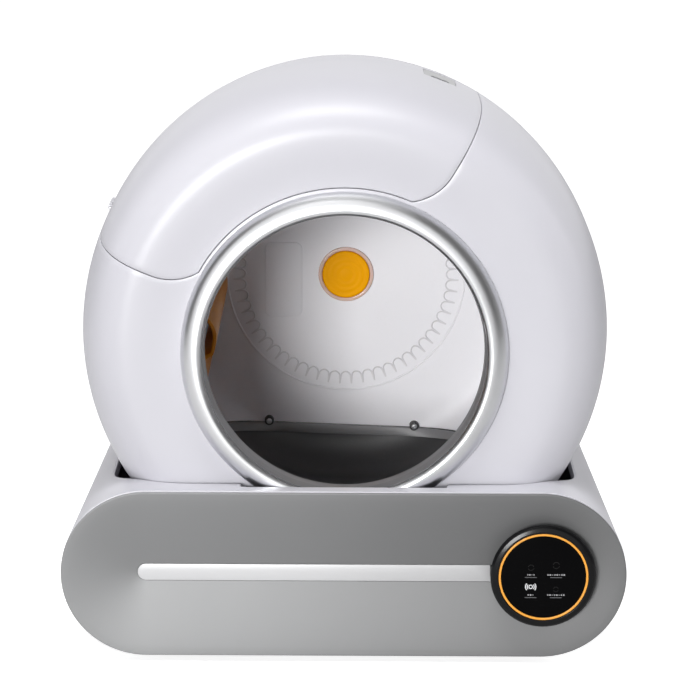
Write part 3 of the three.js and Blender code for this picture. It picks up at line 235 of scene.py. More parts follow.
def moulded(name, look):
    # a moulded plastic, rubber or plated finish from one dictionary
    material, tree, skin = newSkin(
        name, Metallic=look.get("metal", 0.0), Coat_Weight=look.get("coat", 0.0), Coat_Roughness=0.05,
        Specular_IOR_Level=look.get("specular", 0.5), Subsurface_Weight=look.get("soft", 0.0),
    )
    spot = tree.nodes.new("ShaderNodeTexCoord").outputs["Object"]
    tones = {"Tone": (*look["tone"], 1), "Shade": (*look["shade"], 1)}
    colour = place(tree, "tone", Spot=spot, Size=look.get("patch", 6.0), **tones)["Colour"]
    if "paintedFacingLight" in look:
        # painted light: where the piece's own lean attribute says a slope faces up, the colour turns to a
        # lighter tone; where it faces down it keeps the darker one
        facing = tree.nodes.new("ShaderNodeAttribute")
        facing.attribute_name = "lean"
        colour = mixed(tree, facing.outputs["Fac"], colour, (*look["paintedFacingLight"], 1))
    if "paintedFalloff" in look:
        # painted shade: the colour darkens from one side to the other, standing in for light falling off
        # across the piece
        start, end, most = look["paintedFalloff"]
        share = calc(tree, "MULTIPLY", between(tree, sideways(tree, spot), start, end), most)
        colour = mixed(tree, share, colour, (0, 0, 0, 1))
    if "dust" in look:
        dust = {"Dust": (*look["dust"], 1), "Amount": look["dusty"]}
        colour = place(tree, "dust", Spot=spot, Colour=colour, **dust)["Colour"]
    tree.links.new(colour, skin.inputs["Base Color"])
    grained = {"Pips": look.get("pips", 1500.0), "Rough": look["rough"], "Drift": look.get("drift", 0.08)}
    grain = place(tree, "grain", Spot=spot, **grained)
    tree.links.new(grain["Roughness"], skin.inputs["Roughness"])
    height = grain["Height"]
    if "turned" in look:
        onAxis = tree.nodes.new("ShaderNodeMapping")
        tree.links.new(spot, onAxis.inputs["Vector"])
        onAxis.inputs["Location"].default_value = (0, 0, -axisHeight * mm)
        rings = place(tree, "turning", Spot=onAxis.outputs["Vector"], Pitch=look["turned"] * mm)["Height"]
        height = calc(tree, "ADD", height, rings)
    bump = tree.nodes.new("ShaderNodeBump")
    bump.inputs["Strength"].default_value = look.get("bump", 0.15)
    bump.inputs["Distance"].default_value = bumpDistance
    tree.links.new(height, bump.inputs["Height"])
    tree.links.new(bump.outputs["Normal"], skin.inputs["Normal"])
    # the display's marks and light ring are lit from within; the amber cap's glow is painted light
    if "glow" in look:
        tree.links.new(colour, skin.inputs["Emission Color"])
        skin.inputs["Emission Strength"].default_value = look["glow"]
    return material


finishLooks = {
    "shellWhite": {
        "tone": (0.54, 0.535, 0.576), "shade": (0.52, 0.515, 0.556), "rough": 0.36, "drift": 0.05,
        "bump": 0.06, "dust": (0.69, 0.68, 0.70), "dusty": 0.05,
    },
    "drumWhite": {
        "tone": (0.875, 0.87, 0.90), "shade": (0.845, 0.84, 0.87), "rough": 0.48, "patch": 9.0,
        "bump": 0.22, "pips": 900.0, "dust": (0.68, 0.66, 0.64), "dusty": 0.12,
    },
    # painted shade: a darker copy of the drum's white for the arches, standing in for the shadow along their
    # beads
    "drumWhiteShaded": {
        "tone": (0.74, 0.73, 0.75), "shade": (0.70, 0.69, 0.71), "rough": 0.5, "patch": 9.0, "bump": 0.2,
        "pips": 900.0,
    },
    "plateGrey": {
        "tone": (0.21, 0.212, 0.215), "shade": (0.195, 0.197, 0.20), "rough": 0.42, "bump": 0.35,
        # painted light: the valley's upward slopes take a lighter tone and its downward slopes stay darker
        "pips": 1700.0, "dust": (0.26, 0.26, 0.26), "dusty": 0.08, "paintedFacingLight": (0.305, 0.308, 0.312),
        # painted shade: the plate darkens toward the right
        "paintedFalloff": (-0.32, 0.36, 0.52),
    },
    "stripeWhite": {
        "tone": (0.59, 0.59, 0.60), "shade": (0.565, 0.565, 0.575), "rough": 0.3, "bump": 0.06,
        # painted shade: the stripe darkens toward the right
        "paintedFalloff": (-0.15, 0.36, 0.36),
    },
    "darkGrey": {
        "tone": (0.058, 0.058, 0.06), "shade": (0.044, 0.044, 0.046), "rough": 0.5, "bump": 0.3,
        "pips": 1100.0, "dust": (0.10, 0.10, 0.10), "dusty": 0.25,
    },
    "silverRing": {
        "tone": (0.70, 0.705, 0.72), "shade": (0.64, 0.645, 0.66), "rough": 0.3, "metal": 1.0, "bump": 0.5,
        "patch": 20.0,
    },
    "rimGrey": {
        "tone": (0.25, 0.25, 0.257), "shade": (0.20, 0.20, 0.206), "rough": 0.4, "bump": 0.25,
        "pips": 1100.0, "dust": (0.2, 0.2, 0.2), "dusty": 0.2,
    },
    "lipGrey": {
        "tone": (0.14, 0.14, 0.145), "shade": (0.12, 0.12, 0.125), "rough": 0.42, "bump": 0.2,
        "dust": (0.3, 0.3, 0.3), "dusty": 0.1,
    },
    "latchGrey": {"tone": (0.40, 0.40, 0.41), "shade": (0.36, 0.36, 0.37), "rough": 0.4, "bump": 0.2},
    # painted light: the amber hub cap glows faintly though it is no lamp, lifting its lit tone
    "amber": {
        "tone": (0.93, 0.40, 0.0005), "shade": (0.87, 0.36, 0.0005), "rough": 0.5, "bump": 0.1,
        "turned": 2.6, "specular": 0.06, "glow": 0.05,
    },
    "sieveAmber": {
        "tone": (0.56, 0.20, 0.004), "shade": (0.46, 0.15, 0.003), "rough": 0.42, "bump": 0.2, "soft": 0.1,
        "specular": 0.2, "dust": (0.5, 0.3, 0.12), "dusty": 0.1,
    },
    "amberLight": {"tone": (0.82, 0.36, 0.045), "shade": (0.74, 0.30, 0.03), "rough": 0.3, "glow": 0.1},
    "clearAmber": {
        "tone": (0.80, 0.52, 0.44), "shade": (0.74, 0.46, 0.38), "rough": 0.22, "soft": 0.2, "coat": 0.4,
    },
    "glossBlack": {
        "tone": (0.002, 0.002, 0.0022), "shade": (0.003, 0.003, 0.0033), "rough": 0.14, "bump": 0.01,
        "specular": 0.03, "drift": 0.03,
    },
    "bezelBlack": {
        "tone": (0.0035, 0.0035, 0.004), "shade": (0.006, 0.006, 0.0065), "rough": 0.2, "bump": 0.02,
        "specular": 0.2, "drift": 0.03,
    },
    "markGlow": {"tone": (0.62, 0.63, 0.64), "shade": (0.54, 0.55, 0.56), "rough": 0.5, "glow": 0.2},
    "markSoft": {"tone": (0.34, 0.34, 0.35), "shade": (0.24, 0.24, 0.25), "rough": 0.5, "glow": 0.1},
    "markIdle": {
        "tone": (0.010, 0.0095, 0.0095), "shade": (0.008, 0.008, 0.008), "rough": 0.5, "specular": 0.1,
    },
    "markDim": {"tone": (0.085, 0.085, 0.09), "shade": (0.06, 0.06, 0.065), "rough": 0.5, "glow": 0.02},
    "rubber": {
        "tone": (0.022, 0.022, 0.023), "shade": (0.030, 0.030, 0.030), "rough": 0.75, "bump": 0.5,
        "pips": 800.0, "dust": (0.12, 0.12, 0.11), "dusty": 0.3,
    },
    "steel": {
        "tone": (0.60, 0.61, 0.63), "shade": (0.52, 0.53, 0.55), "rough": 0.28, "metal": 1.0, "bump": 0.1,
        "turned": 0.5,
    },
    "boardGreen": {
        "tone": (0.016, 0.10, 0.045), "shade": (0.012, 0.075, 0.035), "rough": 0.38, "bump": 0.3,
        "pips": 500.0, "coat": 0.3,
    },
    "gearWhite": {
        "tone": (0.74, 0.72, 0.67), "shade": (0.68, 0.66, 0.60), "rough": 0.45, "soft": 0.05,
        "dust": (0.4, 0.38, 0.34), "dusty": 0.15,
    },
}
finishes = {name: moulded(name, look) for name, look in finishLooks.items()}
print("finishes mixed:", len(finishes))

cadFinishes = {
    "shell_white": "shellWhite", "drum_white": "drumWhite", "plate_grey": "plateGrey",
    "stripe_white": "stripeWhite", "dark_grey": "darkGrey", "silver_ring": "silverRing",
    "lip_grey": "lipGrey", "amber": "amber", "amber_light": "amberLight", "clear_amber": "clearAmber",
    "gloss_black": "bezelBlack", "rubber": "rubber", "steel": "steel", "board_green": "boardGreen",
    "gear_white": "gearWhite",
}
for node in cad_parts.values():
    for holder in node.material_slots:
        slotName = holder.material.name.split(".")[0]
        if slotName in cadFinishes:
            holder.material = finishes[cadFinishes[slotName]]


# mesh helpers
def makePiece(name, points, faces, edges=()):
    mesh = bpy.data.meshes.new(name)
    mesh.from_pydata([Vector(point) * mm for point in points], edges, faces)
    piece = bpy.data.objects.new(name, mesh)
    bpy.context.scene.collection.objects.link(piece)
    return piece


def gridPiece(name, rows, ringed=False):
    count = len(rows[0])
    faces = []
    for i in range(len(rows) - 1):
        for j in range(count if ringed else count - 1):
            k = (j + 1) % count
            faces.append((i * count + j, (i + 1) * count + j, (i + 1) * count + k, i * count + k))
    return makePiece(name, [point for row in rows for point in row], faces)


def reshape(piece, change):
    # one change to a piece's mesh while it is open for editing
    work = bmesh.new()
    work.from_mesh(piece.data)
    change(work)
    work.to_mesh(piece.data)
    work.free()
    return piece


def weld(piece, gap=0.01, outward=False):
    def close(work):
        bmesh.ops.remove_doubles(work, verts=work.verts, dist=gap * mm)
        bmesh.ops.dissolve_degenerate(work, edges=work.edges, dist=gap * mm)
        if outward:
            bmesh.ops.recalc_face_normals(work, faces=work.faces)

    return reshape(piece, close)


def cutFlat(piece, axis, values, side=1, clear=True):
    # cuts along planes across one axis, and where clear is set drops what lies behind them
    def cut(work):
        for value in values:
            spot, way = Vector(), Vector()
            spot[axis], way[axis] = value * mm, side
            whole = work.verts[:] + work.edges[:] + work.faces[:]
            bmesh.ops.bisect_plane(
                work, geom=whole, plane_co=spot, plane_no=way, clear_inner=clear, dist=1e-6,
            )

    return reshape(piece, cut)


def settle(piece):
    bpy.context.view_layer.update()
    graph = bpy.context.evaluated_depsgraph_get()
    mesh = bpy.data.meshes.new_from_object(piece.evaluated_get(graph), depsgraph=graph)
    piece.modifiers.clear()
    piece.data = mesh
    return piece


def modify(piece, kind, **values):
    change = piece.modifiers.new(kind.lower(), kind)
    for key, value in values.items():
        setattr(change, key, value)
    return settle(piece)


def thicken(piece, wall):
    return modify(piece, "SOLIDIFY", thickness=wall * mm, offset=-1.0, use_rim=True)


def softenEdges(piece, width, segments=2, angle=38):
    return modify(
        piece, "BEVEL", width=width * mm, segments=segments, limit_method="ANGLE",
        angle_limit=angle * degree, use_clamp_overlap=False,
    )


def carve(piece, tool, operation="DIFFERENCE"):
    modify(piece, "BOOLEAN", object=tool, operation=operation, solver="EXACT")
    bpy.data.objects.remove(tool)
    return piece


def joinPieces(piece, *others):
    def take(work):
        for other in others:
            work.from_mesh(other.data)
            bpy.data.objects.remove(other)

    return reshape(piece, take)


def movePoints(piece, move):
    for vertex in piece.data.vertices:
        vertex.co = Vector(move(*(vertex.co / mm))) * mm
    return piece


def turns(steps):
    return [math.tau * i / steps for i in range(steps)]


def around(radius, y, angles, centre=(0.0, axisHeight)):
    # points at one radius about an axis along Y
    return [
        (centre[0] + math.cos(angle) * radius, y, centre[1] + math.sin(angle) * radius) for angle in angles
    ]


def turnPiece(name, line, steps, centre=(0.0, axisHeight), closed=True):
    # a line of (radius, y) corners turned about an axis along Y
    points = [*line, line[0]] if closed else line
    rows = [around(radius, y, turns(steps), centre) for radius, y in points]
    return weld(gridPiece(name, rows, ringed=True), outward=True)


def fourCorners(left, low, right, high):
    return [(left, low), (right, low), (right, high), (left, high)]


def bluntPin(name, radius, start, end, steps, centre):
    # a plain round bar along Y
    return turnPiece(name, fourCorners(0, start, radius, end), steps, centre, closed=False)


def filleted(points, radii, steps=4, closed=True):
    # rounds the corners of an outline; a radius of 0 keeps a corner sharp
    rounded = []
    count = len(points)
    for i, point in enumerate(points):
        radius = radii[i] if isinstance(radii, (list, tuple)) else radii
        if radius == 0 or (not closed and i in (0, count - 1)):
            rounded.append(tuple(point))
            continue
        corner = Vector(point)
        before = (Vector(points[i - 1]) - corner).normalized()
        after = (Vector(points[(i + 1) % count]) - corner).normalized()
        half = before.angle(after) / 2
        centre = corner + (before + after).normalized() * (radius / math.sin(half))
        first = corner + before * (radius / math.tan(half)) - centre
        last = corner + after * (radius / math.tan(half)) - centre
        spread = first.angle(last)
        for k in range(steps + 1):
            share = k / steps
            arm = first * math.sin((1 - share) * spread) + last * math.sin(share * spread)
            rounded.append(tuple(centre + arm / math.sin(spread)))
    return rounded


def roundedBox(width, height, radius, x=0.0, z=0.0, steps=8):
    return filleted(fourCorners(x - width / 2, z - height / 2, x + width / 2, z + height / 2), radius, steps)


def slab(name, outline, start, end, axis="y"):
    # an outline carried along one axis, with flat ends
    lift = {
        "y": lambda a, b, c: (a, c, b), "z": lambda a, b, c: (a, b, c), "x": lambda a, b, c: (c, a, b),
    }[axis]
    count = len(outline)
    points = [lift(a, b, c) for c in (start, end) for a, b in outline]
    faces = [tuple(range(count)), tuple(range(count, count * 2))]
    faces += [(i, (i + 1) % count, count + (i + 1) % count, count + i) for i in range(count)]
    return weld(makePiece(name, points, faces), 0.001, outward=True)


def dress(piece, body, finish, nodes=(), angle=32):
    piece.data.materials.clear()
    piece.data.materials.append(finishes[finish])
    piece.data.shade_smooth()
    piece.data.set_sharp_from_angle(angle=angle * degree)
    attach(piece, body)
    if nodes:
        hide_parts(*nodes)
    return piece


# node trees for shapes that repeat or follow a rule
def shapeTree(name, inputs):
    tree = bpy.data.node_groups.new(name, "GeometryNodeTree")
    tree.interface.new_socket("Geometry", in_out="INPUT", socket_type="NodeSocketGeometry")
    addSockets(tree, "INPUT", inputs)
    tree.interface.new_socket("Finish", in_out="INPUT", socket_type="NodeSocketMaterial")
    tree.interface.new_socket("Geometry", in_out="OUTPUT", socket_type="NodeSocketGeometry")
    return tree, tree.nodes.new("NodeGroupInput").outputs, tree.nodes.new("NodeGroupOutput").inputs


def step(tree, kind, output=0, settings=None, **sockets):
    node = tree.nodes.new(kind)
    for key, value in (settings or {}).items():
        setattr(node, key, value)
    for label, value in sockets.items():
        feed(tree, node.inputs[label.replace("_", " ")], value)
    return node.outputs[output]


def closeTree(tree, given, out, shape):
    whole = step(tree, "GeometryNodeRealizeInstances", Geometry=shape)
    finished = step(tree, "GeometryNodeSetMaterial", Geometry=whole, Material=given["Finish"])
    tree.links.new(finished, out["Geometry"])
    return tree


def grow(piece, tree, **values):
    change = piece.modifiers.new(tree.name, "NODES")
    change.node_group = tree
    named = {label.replace("_", " "): value for label, value in values.items()}
    for item in tree.interface.items_tree:
        if item.item_type == "SOCKET" and item.in_out == "INPUT" and item.name in named:
            change[item.identifier] = named[item.name]
    return settle(piece)


def wireRoundAxis():
    # a bent wire drawn once at the top and repeated round the axis
    inputs = {"Count": 60, "Wire": 0.0005, "Sides": 6, "Axis Height": 0.331}
    tree, given, out = shapeTree("wireRoundAxis", inputs)
    path = step(tree, "GeometryNodeMeshToCurve", Mesh=given["Geometry"])
    section = step(tree, "GeometryNodeCurvePrimitiveCircle", Resolution=given["Sides"], Radius=given["Wire"])
    wire = step(tree, "GeometryNodeCurveToMesh", Curve=path, Profile_Curve=section, Fill_Caps=True)
    spots = step(tree, "GeometryNodePoints", Count=given["Count"])
    pitch = calc(tree, "DIVIDE", math.tau, given["Count"])
    turn = calc(tree, "MULTIPLY", step(tree, "GeometryNodeInputIndex"), pitch)
    spin = step(tree, "ShaderNodeCombineXYZ", Y=turn)
    copies = step(tree, "GeometryNodeInstanceOnPoints", Points=spots, Instance=wire, Rotation=spin)
    height = step(tree, "ShaderNodeCombineXYZ", Z=given["Axis Height"])
    lifted = step(tree, "GeometryNodeTransform", Geometry=copies, Translation=height)
    return closeTree(tree, given, out, lifted)


def alongRow():
    # one body repeated in a row
    tree, given, out = shapeTree("alongRow", {"Count": 8, "Pitch": (0.0, 0.02, 0.0)})
    spots = step(tree, "GeometryNodePoints", Count=given["Count"])
    index, scaled = step(tree, "GeometryNodeInputIndex"), {"operation": "SCALE"}
    offset = step(tree, "ShaderNodeVectorMath", 0, scaled, Vector=given["Pitch"], Scale=index)
    placed = step(tree, "GeometryNodeSetPosition", Geometry=spots, Position=offset)
    copies = step(tree, "GeometryNodeInstanceOnPoints", Points=placed, Instance=given["Geometry"])
    return closeTree(tree, given, out, copies)


def roundedRing():
    # the entry ring: a small inner quarter, a long outer quarter and a flat seat, carried round the axis
    sizes = [
        "Inner Radius", "Crest Radius", "Outer Radius", "Front", "Inner Shoulder", "Seat", "Axis Height",
    ]
    counts = {"Round Steps": 180, "Section Steps": 41}
    tree, given, out = shapeTree("roundedRing", {**counts, **dict.fromkeys(sizes, 0.1)})
    around, along = given["Round Steps"], given["Section Steps"]
    sheet = step(tree, "GeometryNodeMeshGrid", Size_X=1.0, Size_Y=1.0, Vertices_X=around, Vertices_Y=along)
    split = tree.nodes.new("ShaderNodeSeparateXYZ")
    tree.links.new(step(tree, "GeometryNodeInputPosition"), split.inputs[0])
    add, less, times = sums(tree)
    angle = times(split.outputs[0], math.tau)
    share = add(split.outputs[1], 0.5)
    innerShare, outerShare = 0.25, 0.85

    def part(start, end):
        reached = calc(tree, "DIVIDE", less(share, start), end - start)
        return calc(tree, "MINIMUM", calc(tree, "MAXIMUM", reached, 0.0), 1.0)

    innerTurn = times(part(0.0, innerShare), math.pi / 2)
    outerTurn = times(part(innerShare, outerShare), math.pi / 2)
    back = part(outerShare, 1.0)
    innerWide = less(given["Crest Radius"], given["Inner Radius"])
    outerWide = less(given["Outer Radius"], given["Crest Radius"])
    innerDeep = less(given["Inner Shoulder"], given["Front"])
    outerDeep = less(given["Seat"], given["Front"])
    # radius: out from the bore over the crest to the rim, then back along the seat
    rise = times(innerWide, less(1.0, calc(tree, "COSINE", innerTurn)))
    outward = times(outerWide, calc(tree, "SINE", outerTurn))
    inward = times(back, add(innerWide, outerWide))
    radius = less(add(add(given["Inner Radius"], rise), outward), inward)
    lead = times(innerDeep, less(1.0, calc(tree, "SINE", innerTurn)))
    fall = times(outerDeep, less(1.0, calc(tree, "COSINE", outerTurn)))
    x = times(radius, calc(tree, "COSINE", angle))
    y = add(given["Front"], add(lead, fall))
    z = add(given["Axis Height"], times(radius, calc(tree, "SINE", angle)))
    spot = step(tree, "ShaderNodeCombineXYZ", X=x, Y=y, Z=z)
    return closeTree(tree, given, out, step(tree, "GeometryNodeSetPosition", Geometry=sheet, Position=spot))


trees = {"wire": wireRoundAxis(), "row": alongRow(), "ring": roundedRing()}
print("node trees ready")


# outlines of revolution
def squaredQuarter(start, end, power, steps):
    # a squared oval from one corner of a box to the opposite one, radius first and then depth
    points = []
    for i in range(steps + 1):
        turn = i / steps * math.pi / 2
        across = math.sin(turn) ** (2 / power)
        along = 1 - math.cos(turn) ** (2 / power) if i < steps else 1.0
        points.append((start[0] + (end[0] - start[0]) * across, start[1] + (end[1] - start[1]) * along))
    return points


globe = {
    "radius": 286.0, "collarInner": 151.7, "collarSteps": (158.0, 166.0), "collarOuter": 174.7,
    "collarDepth": 39.0, "crest": 225.0, "crestDepth": 37.5, "crownStart": 185.0, "crownMiddle": 198.0,
    "crownEnd": 210.0, "frontPower": 2.55, "rearFlat": 170.0, "rearDepth": 490.0, "rearPower": 2.06,
    "rearSteps": (150, 120, 90, 60, 30), "bore": 10.0, "wall": 3.0, "split": 213.0, "splitGap": 0.3,
    "cut": 150.0, "hatchRight": 59.4, "hatchLeft": 158.2, "hatchCorner": 57.0, "cornerStart": 219.0,
    "hatchRear": 430.0, "seam": 0.8, "aroundFixed": 176, "aroundHatch": 72, "edge": 0.45,
}


def faceDepth(radius):
    share = (radius - globe["collarOuter"]) / (globe["crest"] - globe["collarOuter"])
    ease = (1 - math.cos(math.pi * share)) / 2
    return globe["collarDepth"] + (globe["crestDepth"] - globe["collarDepth"]) * ease


def cornerRows(grow, steps):
    # rows that follow the hatch's round inner corner from the ring out to the straight seam: radius, depth
    # and the angle that the edge stands away from the seam; grow is the seam's width on the shell
    inner = globe["collarOuter"] + globe["seam"] - grow
    corner = globe["hatchCorner"]
    start = globe["cornerStart"]
    wide = corner + grow
    reach = math.hypot(start, corner)
    along = (inner ** 2 - wide ** 2 + reach ** 2) / (reach * 2)
    across = math.sqrt(inner ** 2 - along ** 2)
    meet = (start * along + corner * across) / reach, (corner * along - start * across) / reach
    turn = math.atan2(start - meet[0], corner - meet[1])
    rows = []
    for i in range(steps + 1):
        swing = turn * (1 - i / steps)
        run, toward = start - math.sin(swing) * wide, corner - math.cos(swing) * wide
        radius = math.hypot(run, toward)
        rows.append((radius, faceDepth(radius), math.atan2(toward, run)))
    return rows


def frontRows(grow):
    rows = cornerRows(grow, 18)
    start, end = (globe["crest"], globe["crestDepth"]), (globe["radius"], globe["crownStart"])
    for radius, depth in squaredQuarter(start, end, globe["frontPower"], 40):
        rows.append((radius, depth, -math.asin(grow / radius)))
    return rows


def rearOutline(start):
    flat, widest = (globe["rearFlat"], globe["rearDepth"]), (globe["radius"], globe["crownEnd"])
    points = squaredQuarter(flat, widest, globe["rearPower"], 56)
    return [(radius, depth) for radius, depth in reversed(points) if depth > start]


def rearRadius(depth):
    share = max(depth - globe["crownEnd"], 0) / (globe["rearDepth"] - globe["crownEnd"])
    reach = (1 - share ** globe["rearPower"]) ** (1 / globe["rearPower"])
    return globe["rearFlat"] + (globe["radius"] - globe["rearFlat"]) * reach


def sectorRow(radius, depth, swing, side):
    # side 1 is the hatch itself, side -1 the fixed shell round it
    low, high = globe["hatchRight"] * degree + swing, globe["hatchLeft"] * degree - swing
    count = globe["aroundHatch"]
    if side < 0:
        low, high, count = high, math.tau + low, globe["aroundFixed"]
    angles = [low + (high - low) * i / count for i in range(count + 1)]
    return around(radius, atDepth(depth), angles), angles


def roundAngles(row):
    # the fixed sector's angles and, past them, the ones along the hatch
    fixed = row[1]
    count = globe["aroundHatch"]
    return fixed + [fixed[-1] + (fixed[0] + math.tau - fixed[-1]) * i / count for i in range(1, count)]


def finishShell(piece):
    weld(piece)
    cutFlat(piece, 2, [globe["cut"]])
    thicken(piece, globe["wall"])
    return softenEdges(piece, globe["edge"])


def buildShellFront():
    shift = -math.asin(globe["seam"] / globe["radius"])
    sector = [sectorRow(*row, -1) for row in frontRows(globe["seam"])]
    sector += [
        sectorRow(globe["radius"], depth, shift, -1) for depth in (globe["crownMiddle"], globe["split"])
    ]
    angles = roundAngles(sector[0])
    radii = (globe["collarInner"], *globe["collarSteps"], globe["collarOuter"])
    collar = [around(radius, atDepth(globe["collarDepth"]), angles) for radius in radii]
    skin = gridPiece("shell_front_skin", [row[0] for row in sector])
    piece = finishShell(joinPieces(skin, gridPiece("collar", collar, ringed=True)))
    return dress(piece, "housing", "shellWhite", ["shell_front"])


def rearSectorRows(start, end, grow):
    rows = [
        (globe["radius"], start), *[point for point in rearOutline(start) if point[1] < end - 2],
        (rearRadius(end), end),
    ]
    return [(radius, depth, -math.asin(grow / radius)) for radius, depth in rows]


latch = {
    "angle": 69.0, "width": 38.0, "length": 56.0, "corner": 6.0, "centreDepth": 222.0, "deep": 9.0,
    "wall": 2.4, "plate": 1.4, "top": 285.6, "stem": 9.0, "notchWide": 21.0, "notchLong": 11.0,
    "notchIn": 1.5, "notchCorner": 2.2, "stemBack": 6.0, "stemCorner": 2.0, "stemPlay": 0.6, "play": 0.8,
    "cupDrop": 2.7, "cupFloor": 2.0,
}
hinge = {
    "proud": 0.6, "startDepth": 295.96, "length": 16.0, "knuckle": 2.8, "pin": 1.3, "play": 0.3,
    "restDepth": 346.0,
}


def leanedRight(tilt, x, y, high):
    # a place that is counted from the globe's axis and leans to the right about it
    lean = tilt * degree
    return (
        x * math.cos(lean) + high * math.sin(lean), y,
        axisHeight - x * math.sin(lean) + high * math.cos(lean),
    )


def atLatch(x, y, high):
    return leanedRight(90 - latch["angle"], x, y, high)


def knuckle(index, side):
    # barrel and web of one hinge knuckle, bored for the pin
    reach = globe["radius"] + hinge["proud"]
    angle = globe["hatchLeft"] * degree
    x, z = math.cos(angle) * reach, axisHeight + math.sin(angle) * reach
    start = atDepth(hinge["startDepth"]) + index * (hinge["length"] + globe["seam"])
    end = start + hinge["length"]
    inward = Vector((-math.cos(angle), -math.sin(angle)))
    away = Vector((math.sin(angle), -math.cos(angle))) * side
    radius = hinge["knuckle"]
    deep = reach - rearRadius(hinge["restDepth"]) + globe["wall"] * 0.6
    outline = []
    for i in range(19):
        turn = math.pi * 1.5 * i / 18
        outline.append(away * math.cos(turn) * radius - inward * math.sin(turn) * radius)
    outline += [inward * deep + away * globe["seam"] * 2, inward * deep + away * deep]
    shape = [(x + point[0], z + point[1]) for point in outline]
    body = slab("knuckle", shape, start, end)
    softenEdges(body, 0.4)
    return carve(body, bluntPin("bore", hinge["pin"] + hinge["play"], start - 5, end + 5, 24, (x, z)))


cover = {
    "wide": 156.0, "high": 60.0, "corner": 12.0, "drop": 99.2, "grow": 8.0, "front": 0.3, "rear": 13.0,
    "innerGrow": 5.5, "innerCorner": 9.5, "inside": 10.5, "screws": (76, 28), "sinkDepth": 11.8,
    "sinkRadii": (3.4, 3.6),
}


def motorOpening(grow, start, end):
    # the opening over the drive, or the cover's outline round it
    wide, high, corner = cover["wide"] + grow * 2, cover["high"] + grow * 2, cover["corner"] + grow
    outline = roundedBox(wide, high, corner, 0, axisHeight - cover["drop"])
    return slab("opening", outline, atDepth(start), atDepth(end))


def buildShellRear():
    start = globe["split"] + globe["splitGap"]
    behind = globe["hatchRear"] + globe["seam"]
    sector = [sectorRow(*row, -1) for row in rearSectorRows(start, behind, globe["seam"])]
    angles = roundAngles(sector[-1])
    closing = [(rearRadius(behind), behind), *rearOutline(behind + 1)]
    closing += [(radius, globe["rearDepth"]) for radius in (*globe["rearSteps"], globe["bore"])]
    cap = [around(radius, atDepth(depth), angles) for radius, depth in closing]
    skin = gridPiece("shell_rear_skin", [row[0] for row in sector])
    piece = finishShell(joinPieces(skin, gridPiece("cap", cap, ringed=True)))
    carve(piece, motorOpening(0, globe["rearDepth"] - 10, globe["rearDepth"] + 10))
    joinPieces(piece, knuckle(0, -1), knuckle(2, -1))
    return dress(piece, "housing", "shellWhite", ["shell_rear"])


def latchBlock(name, grow, low, high):
    # the latch recess, grown or shrunk all round
    y, corner = atDepth(latch["centreDepth"]), latch["corner"] + max(grow, 0)
    outline = roundedBox(latch["width"] + grow * 2, latch["length"] + grow * 2, corner, 0, y)
    return slab(name, outline, low, high, "z")


def stemBlock(name, play, low, high):
    # the latch's square stem, or its bore
    y, side = atDepth(latch["centreDepth"]) + latch["stemBack"], latch["stem"] + play
    return slab(name, roundedBox(side, side, latch["stemCorner"], 0, y), low, high, "z")


def buildHatch():
    rows = [sectorRow(*row, 1)[0] for row in frontRows(0.0)]
    rows += [sectorRow(*row, 1)[0] for row in rearSectorRows(globe["crownMiddle"], globe["hatchRear"], 0.0)]
    piece = gridPiece("hatch_skin", rows)
    weld(piece)
    thicken(piece, globe["wall"])
    softenEdges(piece, globe["edge"])
    floor = globe["radius"] - latch["deep"]
    well = weld(movePoints(latchBlock("well", 0, floor, globe["radius"] + 20), atLatch), 0.001, outward=True)
    softenWell(carve(piece, well))
    cup = latchBlock("cup", latch["wall"], floor - latch["cupFloor"], globe["radius"] - latch["cupDrop"])
    carve(cup, latchBlock("hollow", -0.02, floor, globe["radius"] + 5))
    carve(cup, stemBlock("bore", latch["stemPlay"], floor - 10, floor + 2))
    movePoints(cup, atLatch)
    weld(cup, 0.001, outward=True)
    joinPieces(piece, cup, knuckle(1, 1))
    return dress(piece, "hatch", "shellWhite", ["hatch"])


def softenWell(piece):
    # the carved mouth of the latch well gets the same fine round as the seams
    centre = Vector(atLatch(0, atDepth(latch["centreDepth"]), globe["radius"])) * mm

    def roundMouth(work):
        near = []
        for edge in work.edges:
            middle = (edge.verts[0].co + edge.verts[1].co) / 2
            outer = math.hypot(middle.x, middle.z - axisHeight * mm)
            if (middle - centre).length < 40 * mm and outer > (globe["radius"] - 1.6) * mm:
                if edge.is_manifold and edge.calc_face_angle() > 60 * degree:
                    near.append(edge)
        bmesh.ops.bevel(
            work, geom=near, offset=0.35 * mm, segments=2, affect="EDGES", profile=0.5, clamp_overlap=True,
        )

    return reshape(piece, roundMouth)


def globeDrop(x, y):
    # how far the globe's skin has fallen below its widest radius
    return globe["radius"] - math.sqrt(rearRadius(y - plateY) ** 2 - x ** 2)


